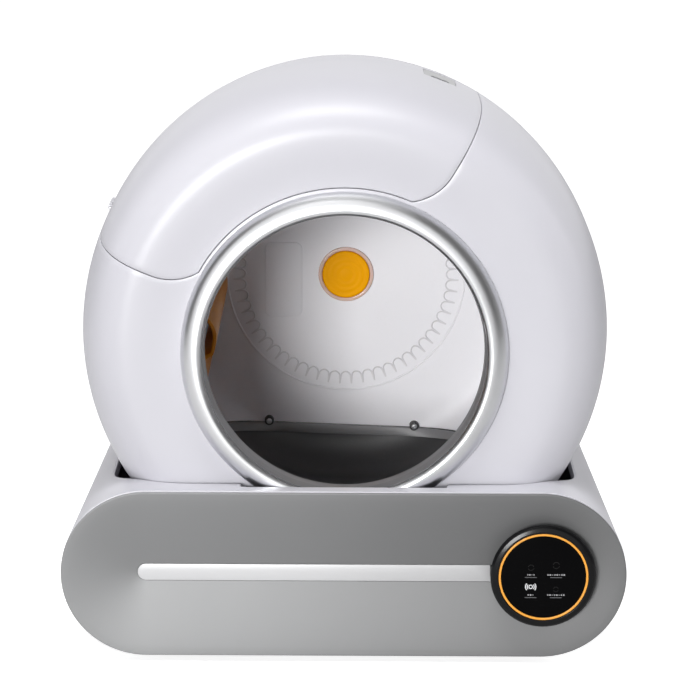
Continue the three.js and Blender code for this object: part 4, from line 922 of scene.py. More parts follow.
def buildLatch():
    # a thin finger plate that follows the globe, with a notch at its front that shows the dark well
    y = atDepth(latch["centreDepth"])
    top, long = latch["top"], latch["length"] - latch["play"]
    outline = roundedBox(latch["width"] - latch["play"], long, latch["corner"] - 0.2, 0, y)
    plate = slab("latch_plate", outline, top - latch["plate"], top, "z")
    notchY = y - long / 2 + latch["notchIn"] + latch["notchLong"] / 2
    outline = roundedBox(latch["notchWide"], latch["notchLong"], latch["notchCorner"], 0, notchY)
    carve(plate, slab("notch", outline, top - 6, top + 5, "z"))
    softenEdges(plate, 0.35)
    # extra edges across the flat faces, so that they can bend
    cutFlat(plate, 0, range(-15, 16, 3), clear=False)
    cutFlat(plate, 1, [y + 4 * i for i in range(-6, 7)], clear=False)
    movePoints(plate, lambda px, py, pz: (px, py, pz - globeDrop(px, py)))
    stem = stemBlock("stem", 0, globe["radius"] - latch["deep"] * 2, top - latch["plate"] / 2 - 0.6)
    softenEdges(stem, 0.5)
    joinPieces(plate, stem)
    movePoints(plate, atLatch)
    weld(plate, 0.0001, outward=True)
    return dress(plate, "latch", "latchGrey", ["hatch_latch"])


buildShellFront()
buildShellRear()
buildHatch()
buildLatch()
print("globe, hatch and latch built")


# the entry
entry = {
    "middle": 328.9, "inner": 150.8, "crest": 156.2, "outer": 173.4, "front": 22.0, "shoulder": 27.5,
    "seat": 38.7, "lipInner": 149.9, "lipWaist": 148.4, "lipFront": 27.6, "lipRear": 60.0, "lipPlay": 0.3,
    "lipTurn": 16.0,
}


def buildEntryRing():
    seed = makePiece("entry_ring_plated", [(0, 0, 0)], [])
    grow(
        seed, trees["ring"], Round_Steps=241, Section_Steps=61, Finish=finishes["silverRing"],
        Inner_Radius=entry["inner"] * mm, Crest_Radius=entry["crest"] * mm,
        Outer_Radius=entry["outer"] * mm, Front=atDepth(entry["front"]) * mm,
        Inner_Shoulder=atDepth(entry["shoulder"]) * mm, Seat=atDepth(entry["seat"]) * mm,
        Axis_Height=entry["middle"] * mm,
    )
    weld(seed, 0.005, outward=True)
    return dress(seed, "housing", "silverRing", ["entry_ring"], 40)


def buildEntryLip():
    inner, outer, waist = entry["lipInner"], entry["inner"] - entry["lipPlay"], entry["lipWaist"]
    front, rear = atDepth(entry["lipFront"]), atDepth(entry["lipRear"])
    line = [
        (inner, front), (outer, front), (outer, rear), (waist + 0.5, rear), (waist, rear - 1.5),
        (waist, front + entry["lipTurn"]),
    ]
    line = filleted(line, [0.2, 0.2, 0.3, 0.4, 0.5, 4.0], 4)
    piece = turnPiece("entry_lip_ring", line, 200, (0.0, entry["middle"]))
    return dress(piece, "housing", "lipGrey", ["entry_lip"])


buildEntryRing()
buildEntryLip()
print("entry built")


# the drum
drum = {
    "radius": 246.0, "wall": 3.0, "mouth": 156.0, "front": 55.0, "frontEdge": 232.0, "frontDrop": 16.0,
    "split": 150.0, "rearStart": 396.0, "rearFlat": 196.0, "rear": 448.0, "portStart": 152,
    "portEnd": 200, "portFront": 170.0, "portRear": 385.0, "mouthSteps": (175, 200, 220),
    "wallSteps": (90, 110, 130), "backSteps": (170, 140, 110, 80, 50, 25, 0), "hub": 18.0,
    "hubLength": 24.0, "hubBore": 9.3, "hubSunk": 1.5, "around": 180, "face": 198.7,
}


def drumShell(name, line):
    rows = [around(radius, atDepth(depth), turns(drum["around"])) for radius, depth in line]
    return gridPiece(name, rows, ringed=True)


def buildDrumFront():
    line = [(radius, drum["front"]) for radius in (drum["mouth"], *drum["mouthSteps"])]
    line += squaredQuarter(
        (drum["frontEdge"], drum["front"]), (drum["radius"], drum["front"] + drum["frontDrop"]), 2.0, 10,
    )
    line += [(drum["radius"], depth) for depth in (*drum["wallSteps"], drum["split"] - 0.3)]
    piece = weld(drumShell("drum_front_shell", line))
    thicken(piece, drum["wall"])
    softenEdges(piece, 0.6)
    return dress(piece, "drum", "drumWhite", ["drum_front"])


def openPort(work):
    # the waste port is left open between its angles and depths
    gone = []
    for face in work.faces:
        spot = face.calc_center_median() / mm
        angle = math.degrees(math.atan2(spot.z - axisHeight, spot.x)) % 360
        inTurn = drum["portStart"] < angle < drum["portEnd"]
        if inTurn and drum["portFront"] < spot.y - plateY < drum["portRear"]:
            gone.append(face)
    bmesh.ops.delete(work, geom=gone, context="FACES")


def buildDrumRear():
    portLong = drum["portRear"] - drum["portFront"]
    depths = [drum["split"], 160, *(drum["portFront"] + portLong * i / 12 for i in range(13))]
    line = [(drum["radius"], depth) for depth in depths]
    line += reversed(
        squaredQuarter((drum["rearFlat"], drum["rear"]), (drum["radius"], drum["rearStart"]), 2.0, 14)
    )
    line += [(radius, drum["rear"]) for radius in drum["backSteps"]]
    piece = weld(reshape(drumShell("drum_rear_shell", line), openPort))
    thicken(piece, drum["wall"])
    softenEdges(piece, 0.8)
    back = atDepth(drum["rear"])
    near, far = back - drum["hubSunk"], back + drum["hubLength"]
    hub = filleted(fourCorners(drum["hubBore"], near, drum["hub"], far), [0, 0, 1.0, 0.6], 3)
    joinPieces(piece, turnPiece("hub", hub, 64))
    return dress(piece, "drum", "drumWhite", ["drum_rear"])


wallMarks = {
    "arches": 60, "valley": 133.6, "top": 119.0, "wire": 0.95, "rim": 141.0, "rimWire": 1.25,
    "rimHalf": 104,
}


def wirePiece(name, path, lift, count, wire, sides, finish):
    # a thin bead that lies on the drum's back wall, repeated round the hub
    points = [(x, drum["face"] + lift, z) for x, z in path]
    piece = makePiece(name, points, [], [(i, i + 1) for i in range(len(path) - 1)])
    sizes = {"Count": count, "Wire": wire * mm, "Sides": sides, "Axis_Height": axisHeight * mm}
    grow(piece, trees["wire"], **sizes, Finish=finishes[finish])
    return dress(piece, "drum", finish, angle=60)


def buildArches():
    # a chain of small arches that stands up from the drum's back wall, tops toward the hub, in a darker copy
    # of the wall's white that paints their shade
    half = math.pi * wallMarks["valley"] / wallMarks["arches"]
    bend = half * 0.82
    side = [
        (half, wallMarks["valley"]), (half * 0.94, wallMarks["valley"] - 3.0),
        (bend, wallMarks["top"] + bend),
    ]
    path = [(-x, z) for x, z in side]
    path += [
        (-math.cos(math.pi * i / 10) * bend, wallMarks["top"] + bend - math.sin(math.pi * i / 10) * bend)
        for i in range(1, 10)
    ]
    path += reversed(side)
    return wirePiece("wall_arches", path, 0.15, wallMarks["arches"], wallMarks["wire"], 6, "drumWhiteShaded")


def buildRimLine():
    # one long thin bead low on the back wall
    spread = wallMarks["rimHalf"] * degree
    angles = [-spread + spread * 2 * i / 90 for i in range(91)]
    path = [(math.sin(angle) * wallMarks["rim"], -math.cos(angle) * wallMarks["rim"]) for angle in angles]
    return wirePiece("wall_bead", path, 0.2, 1, wallMarks["rimWire"], 8, "drumWhite")


hubCap = {
    "radius": 28.0, "thick": 6.0, "round": 2.5, "shoulder": 3.0, "ringInner": 28.4, "ringOuter": 32.7,
    "ringThick": 3.0,
    # the cap's face from its middle outward, as radius and drop, with three fine rings
    "face": [
        (0, 0), (7, 0), (8, 0.35), (9, 0), (14, 0.05), (15, 0.4), (16, 0.1), (20.5, 0.2), (21.5, 0.6),
        (22.5, 0.3), (25.5, 0.5),
    ],
}


def buildHubCap():
    face = drum["face"]
    top, edge = face - hubCap["thick"], hubCap["round"]
    line = [(radius, top + drop) for radius, drop in hubCap["face"]]
    for turn in range(15, 91, 15):
        radius = hubCap["radius"] - edge + edge * math.sin(turn * degree)
        line.append((radius, top + hubCap["shoulder"] - edge * math.cos(turn * degree)))
    line += [(hubCap["radius"], face), (0, face)]
    piece = turnPiece("hub_cap_amber", line, 120)
    dress(piece, "drum", "amber", ["hub_cap"], 50)
    ring = fourCorners(hubCap["ringInner"], face - hubCap["ringThick"], hubCap["ringOuter"], face)
    ring = filleted(ring, [1.0, 1.4, 0, 0], 5)
    clear = turnPiece("hub_ring_clear", ring, 120)
    return dress(clear, "drum", "clearAmber", ["hub_ring"], 50)


scent = {"wide": 44.0, "high": 90.0, "corner": 8.0, "x": -74.0, "drop": 7.0, "thick": 1.6, "round": 0.7}


def buildScentCover():
    outline = roundedBox(
        scent["wide"], scent["high"], scent["corner"], scent["x"], axisHeight - scent["drop"],
    )
    piece = slab("scent_cover_plate", outline, drum["face"] - scent["thick"], drum["face"])
    softenEdges(piece, scent["round"], 3)
    return dress(piece, "drum", "drumWhite", ["scent_cover"])


bed = {
    "inset": 3.3, "wall": 3.0, "rimDrop": 183.4, "tilt": 2.0,
    "steps": (74, 90, 120, 160, 200, 240, 280, 320, 360), "backSteps": (186, 176, 160), "rimHigh": 11.5,
    "rimBow": 4.5, "rimThick": 6.0, "bosses": (-85.0, 88.6), "bossDrop": 181.5, "bossRadius": 5.5,
    "bossThick": 8.0, "screw": 2.1, "head": 3.4, "play": 0.3,
}


def tilted(x, y, z):
    return leanedRight(bed["tilt"], x, y, z - axisHeight)


def linerRadius():
    return drum["radius"] - bed["inset"]


def linerRear():
    # where the liner's flat back starts and how deep it lies
    return drum["rearFlat"] - 1.0, drum["rear"] - bed["inset"]


def buildLitterBed():
    radius = linerRadius()
    line = [(radius, depth) for depth in bed["steps"]]
    line += reversed(squaredQuarter(linerRear(), (radius, drum["rearStart"]), 2.0, 12))
    line += [(step, linerRear()[1]) for step in bed["backSteps"]]
    angles = [math.pi + math.pi * i / 150 for i in range(151)]
    rows = [around(radius, atDepth(depth), angles) for radius, depth in line]
    piece = weld(gridPiece("litter_bed_liner", rows))
    cutFlat(piece, 2, [axisHeight - bed["rimDrop"]], -1)
    thicken(piece, bed["wall"])
    softenEdges(piece, 0.6)
    movePoints(piece, tilted)
    return dress(piece, "drum", "darkGrey", ["litter_bed"], 36)


def buildBedRim():
    # the lighter rim that the liner turns up against the back wall, its lower edge bowed, with two bosses
    radius, (flat, rear) = linerRadius(), linerRear()
    top, back = axisHeight - bed["rimDrop"], atDepth(rear)
    half = math.sqrt((radius - 5) ** 2 - (bed["rimDrop"] + bed["rimHigh"] - bed["rimBow"]) ** 2)

    def linerBack(x, z):
        # the liner's rear surface, which comes forward round the drum's corner
        share = min(max(math.hypot(x, z - axisHeight) - flat, 0) / (radius - flat), 1)
        return atDepth(drum["rearStart"] + (rear - drum["rearStart"]) * math.sqrt(1 - share ** 2))

    def capEnds(work):
        bmesh.ops.holes_fill(work, edges=work.edges, sides=4)
        bmesh.ops.recalc_face_normals(work, faces=work.faces)

    sections = []
    for i in range(61):
        x = -half + half * i / 30
        low = top - bed["rimHigh"] + bed["rimBow"] * (1 - math.sqrt(max(1 - (x / half) ** 2, 0)))
        corners = ((top, 0), (top, bed["rimThick"]), (low, bed["rimThick"]), (low, 0))
        sections.append([(x, linerBack(x, z) - gap, z) for z, gap in corners])
    band = reshape(gridPiece("litter_bed_rim", sections, ringed=True), capEnds)
    softenEdges(band, 1.1, 3)
    parts = []
    ring = fourCorners(bed["screw"] + bed["play"], back - bed["bossThick"], bed["bossRadius"], back)
    ring = filleted(ring, [0.4, 1.0, 0, 0], 3)
    for x in bed["bosses"]:
        parts.append(turnPiece("boss", ring, 40, (x, axisHeight - bed["bossDrop"])))
    bosses = joinPieces(parts[0], parts[1])
    bosses.name = "litter_bed_bosses"
    movePoints(bosses, tilted)
    dress(bosses, "drum", "darkGrey")
    movePoints(band, tilted)
    return dress(band, "drum", "rimGrey", angle=36)


def buildBedScrews():
    back = atDepth(linerRear()[1])
    front = back - bed["bossThick"] - bed["play"]
    head = [
        (0, 1.1), (1.1, 1.1), (1.2, 2.0), (2.6, 1.8), (bed["head"], 0.8), (bed["head"], 0),
        (bed["screw"], 0),
    ]
    line = [(radius, front - high) for radius, high in head]
    line += [(bed["screw"], back), (0, back)]
    first, second = bed["bosses"]
    piece = turnPiece("bed_screws", line, 36, (first, axisHeight - bed["bossDrop"]))
    movePoints(piece, tilted)
    lean = bed["tilt"] * degree
    pitch = Vector((math.cos(lean), 0, -math.sin(lean))) * (second - first) * mm
    grow(piece, trees["row"], Count=2, Pitch=tuple(pitch), Finish=finishes["steel"])
    return dress(piece, "drum", "steel", ["bed_screw_left", "bed_screw_right"])


sieve = {
    # the comb's section from its foot over the bend to its lip, counted from the axis
    "line": [
        (-199, -134), (-181, -124), (-159.5, -97.5), (-154, -65), (-154, -38), (-143, -28), (-143, 2),
        (-175, 34), (-196, 23),
    ],
    "thick": 4.0, "front": 150.0, "rear": 444.7, "bars": 15, "bar": 9.0, "edge": 6.0,
    "footTop": -90, "slots": (-94, -42), "bendStart": -46,
}


def smoothPath(points, steps=6):
    # a soft curve through the corners of a line
    path = []
    last = len(points) - 1
    for i in range(last):
        a, b, c, d = (Vector(points[min(max(k, 0), last)]) for k in (i - 1, i, i + 1, i + 2))
        for k in range(steps):
            t = k / steps
            curve = (2 * a - 5 * b + 4 * c - d) * t ** 2 + (3 * b - a - 3 * c + d) * t ** 3
            path.append(tuple(0.5 * (2 * b + (c - a) * t + curve)))
    path.append(tuple(points[-1]))
    return path


def ribbon(name, path, start, end):
    # a strip of the comb's wall with even thickness
    back = []
    for i, point in enumerate(path):
        run = (Vector(path[min(i + 1, len(path) - 1)]) - Vector(path[max(i - 1, 0)])).normalized()
        back.append((point[0] - run.y * sieve["thick"], point[1] + run.x * sieve["thick"]))
    piece = slab(name, [(x, z + axisHeight) for x, z in [*path, *reversed(back)]], start, end)
    return softenEdges(piece, 0.7, 2, 50)


def buildSieve():
    path = smoothPath(sieve["line"])
    low = [point for point in path if point[1] < sieve["footTop"]]
    high = [point for point in path if point[1] > sieve["bendStart"]]
    middle = [point for point in path if sieve["slots"][0] < point[1] < sieve["slots"][1]]
    front, rear = atDepth(sieve["front"]), atDepth(sieve["rear"])
    piece = ribbon("sieve_comb", high, front, rear)
    lower = ribbon("lower", low, front, rear)
    slotted = front + sieve["edge"]
    pitch = (rear - slotted) / sieve["bars"]
    bars = ribbon("bars", middle, slotted + sieve["bar"], slotted + pitch)
    along = (0.0, pitch * mm, 0.0)
    grow(bars, trees["row"], Count=sieve["bars"] - 1, Pitch=along, Finish=finishes["sieveAmber"])
    joinPieces(piece, lower, bars, ribbon("side", middle, front, slotted))
    return dress(piece, "drum", "sieveAmber", ["sieve"], 50)


buildDrumFront()
buildDrumRear()
buildArches()
buildRimLine()
buildHubCap()
buildScentCover()
buildLitterBed()
buildBedRim()
buildBedScrews()
buildSieve()
print("drum built")


# the base
base = {
    "half": 300.0, "high": 90.0, "taper": 0.035, "rearCorner": 60.0, "rearEase": 14.0, "rearY": 260.0,
    "wall": 3.0, "notchFront": 21.0, "notchHalf": 109.4, "pocketFront": 33.5, "pocketHalf": 250.7,
    "pocketWide": 125.0, "pocketStart": 160.0, "pocketPower": 2.2, "gap": 4.0, "rimRound": 1.4,
    "rimDeep": 16.0, "skirt": 2.5, "frontSteps": (3.3, 6, 10, 16), "pocketSteps": (150.0, 180.0, 207.0),
}
shelf = baseMiddle + base["high"]
inletHole = {"wide": 14.6, "high": 12.6, "corner": 2.3, "x": -190.0, "z": 34.0}
rail = {"x": 150.0, "half": 4.0, "front": 19.0, "rear": 436.0, "low": 9.5, "high": 13.7}
post = {"radius": 3.5, "low": 9.5, "high": 20.0, "x": -125.0, "depth": 470.0, "apart": (49, 11)}
foot = {"radius": 15.0, "high": 7.7, "round": 2.0, "front": (190, 62), "rear": (178, 446)}


def stadium(y, half, high, middle=baseMiddle, across=40, ends=44):
    # closed loop: right end from below to above, top toward the left, left end, bottom
    reach = half - high
    loop = []
    for side in (1, -1):
        turn = [math.pi * (i / ends - side / 2) for i in range(ends + 1)]
        loop += around(high, y, turn, (reach * side, middle))
        loop += [
            (side * (reach - 2 * reach * i / across), y, middle + high * side) for i in range(1, across)
        ]
    return loop


def baseEase(y):
    # how far the rear corner has closed at a depth, 0 to 1
    start = base["rearY"] - base["rearCorner"]
    return 1 - math.sqrt(max(0.0, 1 - (max(y - start, 0) / base["rearCorner"]) ** 2))


def baseHalf(y):
    return base["half"] - (y - plateY) * base["taper"] - base["rearCorner"] * baseEase(y)


def baseHigh(y):
    return base["high"] - base["rearEase"] * baseEase(y)


def topHeight(x, y):
    high = baseHigh(y)
    beyond = abs(x) - (baseHalf(y) - high)
    if beyond <= 0:
        return baseMiddle + high
    return baseMiddle + math.sqrt(max(high ** 2 - beyond ** 2, 0))


def pocketPlan():
    # right half of the pocket's edge from the middle of the front to the middle of the back, as x and depth
    chord = axisHeight - shelf
    notch, front, gap = base["notchHalf"], base["notchFront"], base["gap"]
    near, half = base["pocketFront"], base["pocketHalf"]
    right = [(0.0, front), (notch - 30, front)]
    right += filleted([(notch - 20, front), (notch, front), (notch, near - 0.5)], 3.0, 5, closed=False)[1:-1]
    right += filleted([(notch, front), (notch, near), (notch + 20, near)], 2.5, 4, closed=False)[1:-1]
    right += squaredQuarter((base["pocketStart"], near), (half, base["pocketWide"]), base["pocketPower"], 26)
    right += [(half, depth) for depth in base["pocketSteps"]]
    before = (half - gap, base["pocketSteps"][-1])
    for i in range(1, 40):
        depth = globe["crownEnd"] + (globe["rearDepth"] - globe["crownEnd"]) * math.sin(math.pi / 2 * i / 40)
        radius = rearRadius(depth)
        spot = (math.sqrt(radius ** 2 - chord ** 2) if radius > chord else 0, depth)
        run = (Vector(spot) - Vector(before)).normalized()
        right.append((spot[0] + run.y * gap, depth - run.x * gap))
        before = spot
    right += [(x, globe["rearDepth"] + gap) for x in (80.0, 40.0, 0.0)]
    whole = right + [(-x, depth) for x, depth in reversed(right[1:-1])]
    return resample([(x, atDepth(depth)) for x, depth in whole], 0.75, 5.0)


def resample(loop, closest, widest):
    # drops points that crowd and splits runs that are long
    kept = [loop[0]]
    for point in loop[1:]:
        last = kept[-1]
        apart = math.dist(point, last)
        if apart < closest:
            continue
        if apart > widest:
            count = math.ceil(apart / widest)
            kept += [tuple(Vector(last).lerp(Vector(point), i / count)) for i in range(1, count)]
        kept.append(point)
    return kept


def loopNormals(loop):
    # unit vectors that point away from the middle of a closed loop
    normals = []
    count = len(loop)
    for i in range(count):
        run = (Vector(loop[(i + 1) % count]) - Vector(loop[i - 1])).normalized()
        normals.append(Vector((run.y, -run.x)))
    area = sum(loop[i - 1][0] * loop[i][1] - loop[i][0] * loop[i - 1][1] for i in range(count))
    return normals if area > 0 else [-normal for normal in normals]


def pocketRim(plan, normals):
    # the rounded rim of the pocket and the skirt below it
    out, deep = base["rimRound"], base["rimDeep"]
    profile = [(0.0, -deep), (0.0, -out)]
    for i in range(1, 6):
        turn = math.pi / 2 * i / 5
        profile.append((out * (1 - math.cos(turn)), -out * (1 - math.sin(turn))))
    profile += [(out, -1.2), (base["skirt"], -1.2), (base["skirt"], -deep)]
    rows = []
    for across, down in [*profile, profile[0]]:
        row = []
        for (x, y), normal in zip(plan, normals):
            outerX, outerY = x + normal.x * across, y + normal.y * across
            height = down + (topHeight(outerX, outerY) if across <= out else topHeight(x, y))
            if down <= -deep + 0.01:
                height = shelf - deep - max(0, shelf - topHeight(x, y)) * 0.9
            row.append((outerX, outerY, height))
        rows.append(row)
    return weld(gridPiece("rim", rows, ringed=True), 0.02, outward=True)


def standing(name, line, steps, x, y):
    # a turned piece that stands upright on its spot
    piece = turnPiece(name, line, steps, (0, 0))
    movePoints(piece, lambda right, up, back: (x + right, y + back, up))
    return weld(piece, 0.001, outward=True)


def baseInside():
    # the drawer's rails and the posts of the control board
    parts = []
    for side in (-1, 1):
        x, half = rail["x"] * side, rail["half"]
        outline = fourCorners(x - half, atDepth(rail["front"]), x + half, atDepth(rail["rear"]))
        parts.append(softenEdges(slab("rail", outline, rail["low"], rail["high"], "z"), 0.4))
    line = filleted(fourCorners(0, post["low"], post["radius"], post["high"]), [0, 0, 0.5, 0], 3)
    for sideX in (-1, 1):
        for sideY in (-1, 1):
            x, y = post["x"] + sideX * post["apart"][0], atDepth(post["depth"]) + sideY * post["apart"][1]
            parts.append(standing("post", line, 24, x, y))
    return parts


def buildBaseShell():
    first, last = base["frontSteps"][-1], base["rearY"] - base["rearCorner"] - plateY
    depths = [*base["frontSteps"], *(first + (last - first) * i / 26 for i in range(1, 27))]
    depths += [last + math.sin(math.pi / 2 * i / 14) * base["rearCorner"] for i in range(1, 15)]
    rows = [stadium(y, baseHalf(y), baseHigh(y)) for y in (atDepth(depth) for depth in depths)]
    half, high = baseHalf(base["rearY"]), baseHigh(base["rearY"])
    rows += [
        stadium(base["rearY"], half - high * share, high - high * share)
        for share in (0.1, 0.25, 0.45, 0.7, 1.0)
    ]
    piece = gridPiece("base_shell_body", [list(reversed(row)) for row in rows], ringed=True)
    weld(piece, 0.02, outward=True)
    thicken(piece, base["wall"])
    softenEdges(piece, 0.5)
    plan = pocketPlan()
    normals = loopNormals(plan)
    out = base["rimRound"]
    edge = [(x + normal.x * out, y + normal.y * out) for (x, y), normal in zip(plan, normals)]
    carve(piece, slab("hole", edge, 130, 240, "z"))
    outline = roundedBox(*(inletHole[key] for key in ("wide", "high", "corner", "x", "z")))
    carve(piece, slab("socket_hole", outline, base["rearY"] - 20, base["rearY"] + 10))
    joinPieces(piece, pocketRim(plan, normals), *baseInside())
    return dress(piece, "housing", "shellWhite", ["base_shell"], 30)


def buildFeet():
    line = filleted(fourCorners(0, 0, foot["radius"], foot["high"]), [0, foot["round"], 0.5, 0], 4)
    for row in ("front", "rear"):
        for sideName, side in (("left", -1), ("right", 1)):
            name = "foot_" + row + "_" + sideName
            x, depth = foot[row]
            piece = standing(name + "_pad", line, 48, x * side, atDepth(depth))
            dress(piece, "housing", "rubber", [name])


def buildRearCover():
    near, middle, grow = atDepth(globe["rearDepth"]), axisHeight - cover["drop"], cover["innerGrow"] * 2
    start, end = globe["rearDepth"] + cover["front"], globe["rearDepth"] + cover["rear"]
    piece = motorOpening(cover["grow"], start, end)
    piece.name = "rear_cover_lid"
    softenEdges(piece, 2.2, 4)
    inside = roundedBox(cover["wide"] + grow, cover["high"] + grow, cover["innerCorner"], 0, middle)
    carve(piece, slab("hollow", inside, near - 10, near + cover["inside"]))
    start, (narrow, wide) = near + cover["sinkDepth"], cover["sinkRadii"]
    line = [(0, start), (narrow, start), (wide, near + 16), (0, near + 16)]
    for right in (-1, 1):
        for up in (-1, 1):
            spot = (cover["screws"][0] * right, middle + cover["screws"][1] * up)
            carve(piece, weld(turnPiece("sink", line, 28, spot, closed=False), 0.001, outward=True))
    return dress(piece, "housing", "shellWhite", ["rear_cover"], 36)


buildBaseShell()
buildFeet()
buildRearCover()
print("base built")


# rollers
roller = {
    "radius": 12.0, "bore": 2.8, "half": 8.0, "gap": 0.3, "ledgeDrop": 181.0, "inset": 23.5,
    "front": 125.0, "rear": 310.0,
}


def buildRollers():
    radius, bore, half = roller["radius"], roller["bore"], roller["half"]
    x = math.sqrt(globe["radius"] ** 2 - roller["ledgeDrop"] ** 2) - roller["inset"]
    z = axisHeight - math.sqrt((drum["radius"] + roller["gap"] + radius) ** 2 - x ** 2)
    for sideName, side in (("left", -1), ("right", 1)):
        for row in ("front", "rear"):
            name, y = "roller_" + row + "_" + sideName, atDepth(roller[row])
            line = filleted(fourCorners(bore, y - half, radius, y + half), [0.4, 1.4, 1.4, 0.4], 4)
            piece = turnPiece(name + "_tyre", line, 48, (x * side, z))
            dress(piece, name, "rubber", [name])


buildRollers()


# the drawer's front
plate = {
    "middle": 96.8, "half": 90.0, "round": 1.4, "valley": 10.0, "bow": 1.22, "floor": 9.3, "thick": 3.0,
    "lap": 3.0, "lapDepth": 1.4, "stripeHalf": 9.0, "stripeFront": 9.6, "stripeThick": 1.5,
    "stripeGap": 0.6, "padX": 110.0, "padHalf": 13.0, "padLow": (27.0, 4.2), "padHigh": (61.0, 7.9),
    "padRear": 18.7,
}
display = {
    "x": 211.0, "z": 100.0, "radius": 55.0, "front": -260.0, "seat": 50.0, "glass": 44.75,
    "lightInner": 45.05, "lightOuter": 47.35, "lightDepths": (0.3, 3.0), "glassDepths": (0.6, 2.6),
    "foot": 52.4, "sunk": 0.3,
    # the bezel's section from the glass out over the bevel, as radius, depth and fillet
    "face": [
        (42.65, 2.9, 0), (44.75, 2.9, 0), (44.75, 3.6, 0), (47.65, 3.6, 0), (47.65, 0.5, 0),
        (48.4, 0.0, 0.6), (49.6, 0.0, 0.5), (53.4, 0.95, 1.8), (55.1, 2.6, 1.0), (56.0, 4.4, 0),
    ],
    "flank": [(56.0, 5.6), (55.6, 7.2), (54.3, 9.6), (53.0, 11.6)],
    "inside": [(50.0, 33.0), (47.6, 33.0), (42.65, 14.0), (42.65, 2.9)],
}


def valleyShare(distance):
    return (plate["half"] - distance) / (plate["half"] - plate["floor"])


def valleyDepth(distance):
    # the valley is all but flat at the plate's rim and steepest beside the stripe
    return plate["valley"] * valleyShare(distance) ** plate["bow"]


def plateFace(x, z):
    # the plate's front surface under a point of the front view
    distance = math.hypot(max(abs(x) - focusX, 0), z - plate["middle"])
    return plateY + valleyDepth(max(distance, plate["floor"]))


def markPaintedLight(piece):
    # 0 where the valley's slope faces down, 1 where it faces up, between them round the ends: the mask for
    # the plate's painted light, lighter on the upward slopes and darker on the downward ones
    share = piece.data.attributes.new("lean", "FLOAT", "POINT")
    for vertex in piece.data.vertices:
        x, _, z = vertex.co / mm
        across = x - min(max(x, -focusX), focusX)
        up = z - plate["middle"]
        distance = max(math.hypot(across, up), plate["floor"])
        steep = max(valleyShare(distance), 0.0001) ** (plate["bow"] - 1)
        slope = plate["bow"] * plate["valley"] / (plate["half"] - plate["floor"]) * steep
        facing = min(max(0.5 + (0.6 * across - up) / distance * slope / 0.32, 0.0), 1.0)
        share.data[vertex.index].value = facing * facing * (3 - 2 * facing)


def plateSection():
    # from the plate's rim over its back to the valley's floor and up the slope, as distance and depth
    half, floor, valley, thick = plate["half"], plate["floor"], plate["valley"], plate["thick"]
    lap, lapDepth = floor - plate["lap"], valley + plate["lapDepth"]
    corners = [(half, 0.0), (half, thick), (half - thick, thick), (floor, valley + thick)]
    corners += [(lap, valley + thick), (lap, lapDepth), (floor, lapDepth), (floor, valley)]
    line = filleted(corners, [plate["round"], 0.4, 0.4, 0, 0, 0, 0, 0.3], 6)
    spread = []
    for point, follow in zip(line, line[1:] + line[:1]):
        # long slopes get rows between their ends, which keeps the cone at the stripe's end smooth
        count = max(1, round(math.dist(point, follow) / 9))
        spread += [
            tuple(point[k] + (follow[k] - point[k]) * i / count for k in (0, 1)) for i in range(count)
        ]
    section = []
    for distance, depth in [*spread, spread[0]]:
        straight = abs(depth - valley * valleyShare(distance)) < 0.05
        onSlope = straight and depth < valley and distance < half - 2
        section.append((distance, valleyDepth(distance) if onSlope else depth))
    return section


def buildFascia():
    floor, valley, middle = plate["floor"] - 0.1, plate["valley"], plate["middle"]
    rows = [
        stadium(plateY + depth, focusX + distance, distance, middle, 48, 64)
        for distance, depth in plateSection()
    ]
    piece = weld(gridPiece("fascia_plate", rows, ringed=True), 0.005, outward=True)
    outline = [(x, z) for x, _, z in stadium(0, focusX + floor, floor, middle, ends=20)]
    backing = slab("backing", outline, atDepth(valley + plate["lapDepth"]), atDepth(valley + plate["thick"]))
    centre, reach = (display["x"], display["z"]), display["seat"] + display["sunk"]
    for part in (piece, backing):
        carve(part, bluntPin("hole", reach, plateY - 20, plateY + 30, 128, centre))
    (low, near), (high, far), rear = plate["padLow"], plate["padHigh"], atDepth(plate["padRear"])
    side = [(atDepth(near), low), (atDepth(far), high), (rear, high), (rear, low)]
    pads = [
        slab("pad", side, x - plate["padHalf"], x + plate["padHalf"], "x")
        for x in (-plate["padX"], plate["padX"])
    ]
    markPaintedLight(joinPieces(piece, backing, *pads))
    return dress(piece, "drawer", "plateGrey", ["fascia"], 30)


def buildStripe():
    half, middle, reach = plate["stripeHalf"], plate["middle"], display["radius"] + plate["stripeGap"]
    drop = display["z"] - middle
    top, low = (display["x"] - math.sqrt(reach ** 2 - (half - way * drop) ** 2) for way in (1, -1))
    turn = [math.pi * i / 24 for i in range(25)]
    outline = [(-focusX - math.sin(angle) * half, middle + math.cos(angle) * half) for angle in turn]
    outline += [(-focusX + (low + focusX) * i / 20, middle - half) for i in range(1, 20)]
    start = math.atan2(-half - drop, low - display["x"]) % math.tau
    end = math.atan2(half - drop, top - display["x"]) % math.tau
    bay = around(reach, 0, [start + (end - start) * i / 8 for i in range(9)], (display["x"], display["z"]))
    outline += [(x, z) for x, _, z in bay]
    outline += [(top - (top + focusX) * i / 20, middle + half) for i in range(1, 20)]
    front = plateY + plate["stripeFront"]
    piece = slab("stripe_strip", outline, front, front + plate["stripeThick"])
    softenEdges(piece, 0.3)
    return dress(piece, "drawer", "stripeWhite", ["stripe"])


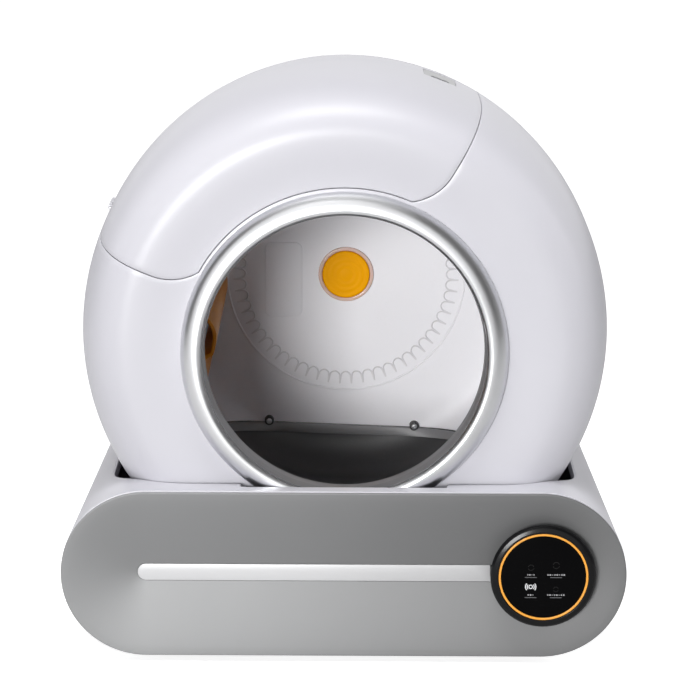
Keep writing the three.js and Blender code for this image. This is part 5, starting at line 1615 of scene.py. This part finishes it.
def buildDisplay():
    front, centre, steps = display["front"], (display["x"], display["z"]), 144
    angles = turns(steps)
    radii, depths, fillets = zip(*display["face"])
    corners = [(radius, front + depth) for radius, depth in zip(radii, depths)]
    line = filleted(corners, fillets, 4, closed=False)
    line += [(radius, front + depth) for radius, depth in display["flank"]]
    rows = [around(radius, y, angles, centre) for radius, y in line]
    ground = [plateFace(x, z) - display["sunk"] for x, _, z in around(display["foot"], 0, angles, centre)]
    for radius in (display["foot"], display["seat"]):
        rows.append([(x, y, z) for (x, _, z), y in zip(around(radius, 0, angles, centre), ground)])
    rows += [around(radius, front + depth, angles, centre) for radius, depth in display["inside"]]
    piece = weld(gridPiece("display_bezel_ring", rows, ringed=True), 0.001, outward=True)
    dress(piece, "drawer", "bezelBlack", ["display_bezel"], 40)
    near, far = (front + depth for depth in display["lightDepths"])
    corners = fourCorners(display["lightInner"], near, display["lightOuter"], far)
    band = turnPiece("light_ring_band", filleted(corners, [0.5, 0.5, 0, 0], 3), steps, centre)
    dress(band, "drawer", "amberLight", ["light_ring"])
    near, far = (front + depth for depth in display["glassDepths"])
    line = filleted(fourCorners(0, near, display["glass"], far), [0, 0.4, 0.2, 0], 3)
    lens = turnPiece("display_glass_lens", line, steps, centre)
    dress(lens, "drawer", "glossBlack", ["display_glass"])


marks = {
    "plane": -259.42, "columns": (-13.4, 13.2), "thin": (12.6, 0.8),
    # the rows of dashes as column, height above the middle and width
    "captions": [(0, 2.6, 8.6), (1, 2.6, 19.6), (0, -19.6, 7.4), (1, -19.6, 19.2)],
    "high": 1.7, "under": 2.9, "wave": -10.6, "waveRadii": (3.7, 5.5), "waveWide": 0.95, "dot": 1.9,
    "idle": [(0, 10.4, 3.0), (1, 13.0, 3.4), (1, -13.4, 2.6)],
}


def printed(name, outline):
    # a mark a tenth of a millimetre thick on the glass
    return slab(name, outline, marks["plane"] - 0.06, marks["plane"] + 0.05)


def bar(x, z, width, height):
    return printed("bar", roundedBox(width, height, height * 0.45, display["x"] + x, display["z"] + z, 3))


def arcBand(x, z, radius, width, start, end, steps=14):
    angles = [(start + (end - start) * i / steps) * degree for i in range(steps + 1)]
    centre = (display["x"] + x, display["z"] + z)
    outline = around(radius + width / 2, 0, angles, centre)
    outline += around(radius - width / 2, 0, angles[::-1], centre)
    return printed("arc", [(right, up) for right, _, up in outline])


def dashes(x, z, width):
    # a plain row of short dashes
    count = max(3, round(width / 2.4))
    pitch = width / count
    row = []
    for i in range(count):
        long = pitch * (0.62 + 0.18 * math.sin(i * 2.1))
        row.append(bar(x - width / 2 + pitch * (i + 0.5), z, long, marks["high"]))
    return row


def gather(name, finish, parts):
    piece = joinPieces(parts[0], *parts[1:])
    piece.name = name
    return dress(piece, "drawer", finish, angle=50)


def buildMarks():
    # rows of plain dashes, thin lines and a wave symbol on the glass
    columns = marks["columns"]
    wave, wide = (columns[0], marks["wave"]), marks["waveWide"]
    lit = [
        arcBand(*wave, radius, wide, side - 40, side + 40)
        for radius in marks["waveRadii"] for side in (0, 180)
    ]
    gather("display_symbol_lit", "markGlow", [*lit, arcBand(*wave, marks["dot"], wide, 0, 359.5, 24)])
    captions, lines, idle = [], [], []
    for column, z, width in marks["captions"]:
        captions += dashes(columns[column], z, width)
        lines.append(bar(columns[column], z - marks["under"], *marks["thin"]))
    for column, z, radius in marks["idle"]:
        idle += [arcBand(columns[column], z, radius, 0.7, start, start + 150) for start in (15, 195)]
    gather("display_captions", "markSoft", captions)
    gather("display_lines", "markDim", lines)
    gather("display_symbols_idle", "markIdle", idle)


buildFascia()
buildStripe()
buildDisplay()
buildMarks()
print("drawer front built")


# studio
studio = {
    "floorTone": (0.62, 0.62, 0.62), "liftNear": 0.78, "liftFar": 1.0, "liftReach": (0.5, 3.0),
    "roomLight": 0.10,
    "front": {"size": (1.9, 1.9), "power": 385, "spot": (-1.69, -6.85, 1.15), "aim": (0, -0.1, 0.33)},
    "key": {"size": (1.8, 1.2), "power": 80, "spot": (-0.25, -0.75, 3.3), "aim": (0, 0, 0.35)},
    "right": {
        "size": (1.2, 1.6), "power": 36, "spot": (2.9, 0.3, 1.2), "aim": (0, 0, 0.3), "mirrored": False,
    },
    "left": {
        "size": (1.2, 1.6), "power": 19, "spot": (-2.9, 0.3, 1.2), "aim": (0, 0, 0.3), "mirrored": False,
    },
    # a hood round the lens: its radius in metres, where it leans, and each band's angles and tone
    "hood": {
        "reach": 2.7, "toward": 140, "lean": 20, "bands": [(50, 86, 0.12), (86, 128, 0.28)],
        "setBack": -0.22,
    },
    "shineLeft": 0.27, "shineRight": 0.04, "floorX": (-9000, 9000), "floorY": (-6000, 12000),
}


def areaLamp(name, spec):
    data = bpy.data.lights.new(name, "AREA")
    data.shape = "RECTANGLE"
    data.size, data.size_y = spec["size"]
    data.energy = spec["power"]
    lamp = bpy.data.objects.new(name, data)
    lamp.location = spec["spot"]
    lamp.visible_glossy = spec.get("mirrored", True)
    lamp.rotation_euler = (Vector(spec["aim"]) - Vector(spec["spot"])).to_track_quat("-Z", "Y").to_euler()
    bpy.context.scene.collection.objects.link(lamp)


def seenDirectly(tree):
    path = tree.nodes.new("ShaderNodeLightPath")
    add = sums(tree)[0]
    seen = add(path.outputs["Is Camera Ray"], path.outputs["Is Glossy Ray"])
    return calc(tree, "MINIMUM", add(seen, path.outputs["Is Transmission Ray"]), 1.0)


def buildHood():
    # a dark hood round the lens that only polished faces see: it draws the dark band along the silver ring
    spec = studio["hood"]
    reach, back, height = spec["reach"], spec["setBack"], axisHeight * mm
    # the hood's open middle faces the upper left, where the light comes from
    side = Vector((math.cos(spec["toward"] * degree), 0, math.sin(spec["toward"] * degree)))
    pivot = Matrix.Translation((0, back, height))
    tip = Matrix.Rotation(spec["lean"] * degree, 4, Vector((0, -1, 0)).cross(side))
    turn = pivot @ tip @ pivot.inverted()
    for number, (near, far, tone) in enumerate(spec["bands"]):
        leans = [(near + (far - near) * i / 4) * degree for i in range(5)]
        rows = [
            around(math.sin(lean) * reach / mm, (back - math.cos(lean) * reach) / mm, turns(48))
            for lean in leans
        ]
        hood = gridPiece(f"lensHood{number}", rows, ringed=True)
        hood.data.transform(turn)
        shine = {"Emission_Color": (1, 1, 1, 1), "Emission_Strength": tone}
        material = newSkin(f"hoodGrey{number}", Base_Color=(0, 0, 0, 1), Specular_IOR_Level=0.0, **shine)[0]
        hood.data.materials.append(material)
        for kind in ("camera", "diffuse", "shadow", "transmission", "volume_scatter"):
            setattr(hood, "visible_" + kind, False)


def buildStudio():
    world = bpy.data.worlds.new("studio")
    bpy.context.scene.world = world
    world.use_nodes = True
    tree = world.node_tree
    sky = tree.nodes["Background"]
    sky.inputs["Color"].default_value = (1, 1, 1, 1)
    room = calc(tree, "MULTIPLY_ADD", seenDirectly(tree), 1 - studio["roomLight"], studio["roomLight"])
    tree.links.new(room, sky.inputs["Strength"])
    (left, right), (near, far) = studio["floorX"], studio["floorY"]
    corners = [(left, near, 0), (right, near, 0), (right, far, 0), (left, far, 0)]
    floor = makePiece("floor", corners, [(0, 1, 2, 3)])
    plain = {"Roughness": 0.9, "Specular_IOR_Level": 0.0, "Emission_Color": (1, 1, 1, 1)}
    material, tree, skin = newSkin("paleFloor", Base_Color=(*studio["floorTone"], 1), **plain)
    # far from the object the floor runs into the white of the room
    spot = tree.nodes.new("ShaderNodeTexCoord").outputs["Object"]
    distance = step(tree, "ShaderNodeVectorMath", 1, {"operation": "LENGTH"}, Vector=spot)
    away = between(tree, distance, *studio["liftReach"])
    lift = calc(tree, "MULTIPLY_ADD", away, studio["liftFar"] - studio["liftNear"], studio["liftNear"])
    # the ring mirrors less of the floor at the right
    left, right = studio["shineLeft"], studio["shineRight"]
    across = between(tree, sideways(tree, spot), -0.5, 0.5)
    mirrored = calc(tree, "MULTIPLY_ADD", across, right - left, left - 1)
    path = tree.nodes.new("ShaderNodeLightPath")
    shine = calc(tree, "MULTIPLY_ADD", path.outputs["Is Glossy Ray"], mirrored, 1.0)
    times = sums(tree)[2]
    tree.links.new(times(times(seenDirectly(tree), shine), lift), skin.inputs["Emission Strength"])
    floor.data.materials.append(material)
    for name in ("front", "key", "right", "left"):
        areaLamp(name, studio[name])
    buildHood()


buildStudio()
scene = bpy.context.scene
scene.view_settings.view_transform = "Standard"
print("studio lit")
